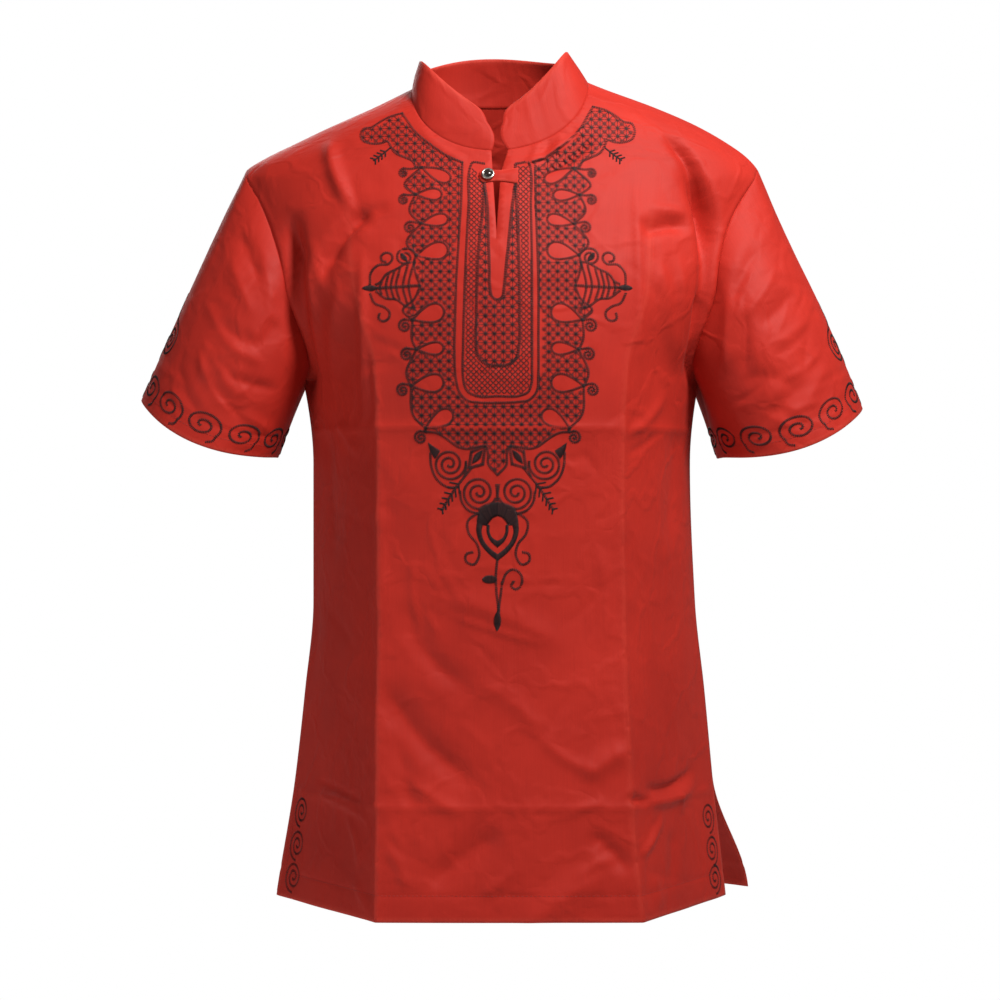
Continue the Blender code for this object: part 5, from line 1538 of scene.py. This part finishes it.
for side, name in ((-1, "sleeve_right"), (1, "sleeve_left")):
    lay, girth = on_sleeve(side)
    lines = []
    wide, high = size = np.array(CUFF_SCROLL_SIZE)
    for k in range(CUFF_SCROLLS):
        centre = np.array([k * girth / CUFF_SCROLLS, CUFF_SCROLL_RISE])
        lines.append(spiral(centre, high, CUFF_SCROLL_TURNS, -0.5, -1, wide / high))
        lines.append(curve([centre + size * share for share in CUFF_TAIL]))
    for hand in (-1, 1):
        way = np.array([hand, 1.0])
        lines.append(spiral(way * MOTIF_SCROLL, MOTIF_RADIUS, MOTIF_TURNS, math.pi / 2, hand))
        lines += [curve(way * line) for line in MOTIF_LINES]
    motif = np.concatenate([leaf(*row) for row in MOTIF_LEAVES])
    sew(name + "_scrolls", lay, [(cord(lines), *CORD), (motif, *SATIN)], dark_thread)

# Vent scrolls
# The real front has a short column of two-turn scrolls above the hem beside each side vent, on the
# cloth that turns towards the side.
VENT_SCROLL_RADIUS = 13.6
VENT_SCROLL_TURNS = 2.1
VENT_CORD = (0.80, 0.42)
VENT_SCROLLS = (
    # side, millimetres in from the side seam, drops
    (-1, 23.5, (646.0, 675.0, 703.0)),
    (1, 20.0, (652.0, 680.0, 705.0)),
)


def on_panel(grid):
    """A function that lays flat places on a panel: millimetres across from its middle, and the drop."""

    def lay(flat):
        t = np.clip(flat[:, 0] / 1000 / HALF_GIRTH, -1.0, 1.0)
        drop = np.clip(flat[:, 1] / 1000, TOP_DROP, HEM)
        return read_grid(grid[0], t, drop), unit(read_grid(grid[1], t, drop))

    return lay


vent_lines = []
for side, inward, at_drops in VENT_SCROLLS:
    for at_drop in at_drops:
        centre = (side * (HALF_GIRTH * 1000 - inward), at_drop)
        vent_lines.append(spiral(centre, VENT_SCROLL_RADIUS, VENT_SCROLL_TURNS, math.pi / 2, side))
sew("vent_scrolls", on_panel(front_grid), [(cord(vent_lines), *VENT_CORD)], dark_thread)

# Hem and edge stitching
# The real hems, vents, cuffs, collar and slit are stitched with red thread in one row of short even
# stitches with small gaps, which sit in a slight groove.
STITCH = (0.50, 0.30)
STITCH_LENGTH = 2.4
STITCH_PITCH = 3.3
VENT_TURN = 10.0
SLIT_ROWS = (
    ((-13.6, 82.0), (-12.0, 100.0), (-10.9, 140.0)),
    ((11.5, 100.0), (8.6, 120.0), (7.0, 146.0)),
)


def run_of(points):
    """Straight stitches with gaps, along a line."""
    line = curve(points, STITCH_PITCH)
    way = unit(np.gradient(line, axis=0)) * STITCH_LENGTH / 2
    return np.stack([line - way, line + way], axis=1)


red_thread = new_material("red_sewing_thread", {"Base Color": (0.36, 0.022, 0.016, 1.0), "Roughness": 0.55})
edge = HALF_GIRTH * 1000 - VENT_TURN
hem_row = (HEM - HEM_DEEP) * 1000
for name, grid in (("front", front_grid), ("back", back_grid)):
    rows = [run_of([(-edge, hem_row), (0.0, hem_row), (edge, hem_row)])]
    for side in (-1, 1):
        rows.append(run_of([(side * edge, VENT_TOP * 1000 + 3), (side * edge, hem_row)]))
    sew(name + "_hem_stitches", on_panel(grid), [(np.concatenate(rows), *STITCH)], red_thread)
for side, name in ((-1, "sleeve_right"), (1, "sleeve_left")):
    lay, girth = on_sleeve(side)
    turn = CUFF_TURN * 1000 * 0.55
    sew(name + "_hem_stitches", lay,
        [(run_of([(0.0, turn), (girth / 2, turn), (girth - STITCH_PITCH, turn)]), *STITCH)],
        red_thread)
slit_rows = np.concatenate([run_of(row) for row in SLIT_ROWS])
sew("slit_stitches", on_front, [(slit_rows, *STITCH)], red_thread)

# Floor, light and camera
# A pale floor below the hanging shirt, a key light from the upper right in front with a weak one
# beside it, a soft fill from the lower left, one from behind, and a white surround.
CAMERA_PLACE = (0.0, -2.2, -0.369)
CAMERA_LENS = 87.98
FLOOR_DROP = 1.20
FLOOR_RADIUS = 1.80
FLOOR_STEPS = 96
WORLD_STRENGTH = 0.155
LIGHTS = (
    # name, place, target, size, power, colour
    ("key", (0.58, -0.80, 0.86), (0.0, 0.0, -0.16), 0.30, 27.5, (1.0, 0.97, 0.94)),
    ("right", (1.35, -0.75, 0.95), (0.0, 0.0, 0.0), 0.60, 3.0, (1.0, 0.97, 0.95)),
    ("fill", (-1.7, -1.5, -0.5), (0.0, 0.0, -0.40), 1.0, 9.0, (1.0, 0.98, 0.97)),
    ("rim", (-0.6, 1.9, 0.9), (0.0, 0.0, -0.3), 1.4, 24.0, (1.0, 1.0, 1.0)),
)

floor_mesh = bpy.data.meshes.new("floor")
floor_angle = np.linspace(0.0, 2 * np.pi, FLOOR_STEPS, endpoint=False)
floor_ring = np.stack([FLOOR_RADIUS * np.cos(floor_angle), FLOOR_RADIUS * np.sin(floor_angle),
                       np.full(FLOOR_STEPS, -FLOOR_DROP)], axis=1)
floor_mesh.from_pydata(floor_ring.tolist(), [], [list(range(FLOOR_STEPS))])
floor = bpy.data.objects.new("floor", floor_mesh)
bpy.context.scene.collection.objects.link(floor)
floor_mesh.materials.append(new_material("floor_paper", {
    "Base Color": (0.80, 0.79, 0.78, 1.0), "Roughness": 0.9,
}))


def soft_light(name, place, target, size, power, colour):
    """A square area light at a place, turned towards a target."""
    lamp = bpy.data.lights.new(name, "AREA")
    lamp.size = size
    lamp.energy = power
    lamp.color = colour
    made = bpy.data.objects.new(name, lamp)
    made.location = place
    aim = Vector(target) - Vector(place)
    made.rotation_euler = aim.to_track_quat("-Z", "Y").to_euler()
    bpy.context.scene.collection.objects.link(made)


for row in LIGHTS:
    soft_light(*row)

world = bpy.data.worlds.new("studio")
world.use_nodes = True
bpy.context.scene.world = world
world_tree = world.node_tree
seen = world_tree.nodes["Background"]
set_inputs(seen, {"Color": (1.0, 1.0, 1.0, 1.0), "Strength": 1.0})
lit = add_node(world_tree, "Background", {"Color": (1.0, 0.985, 0.975, 1.0), "Strength": WORLD_STRENGTH})
to_camera = add_node(world_tree, "LightPath", {}).outputs["Is Camera Ray"]
mixed = add_node(world_tree, "MixShader", {"Fac": to_camera, 1: lit.outputs["Background"],
                                           2: seen.outputs["Background"]})
set_inputs(world_tree.nodes["World Output"], {"Surface": mixed.outputs["Shader"]})

camera_data = bpy.data.cameras.new("camera")
camera_data.lens = CAMERA_LENS
camera = bpy.data.objects.new("camera", camera_data)
camera.location = CAMERA_PLACE
camera.rotation_euler = (math.pi / 2, 0.0, 0.0)
bpy.context.scene.collection.objects.link(camera)
bpy.context.scene.camera = camera
bpy.context.scene.view_settings.view_transform = "Standard"
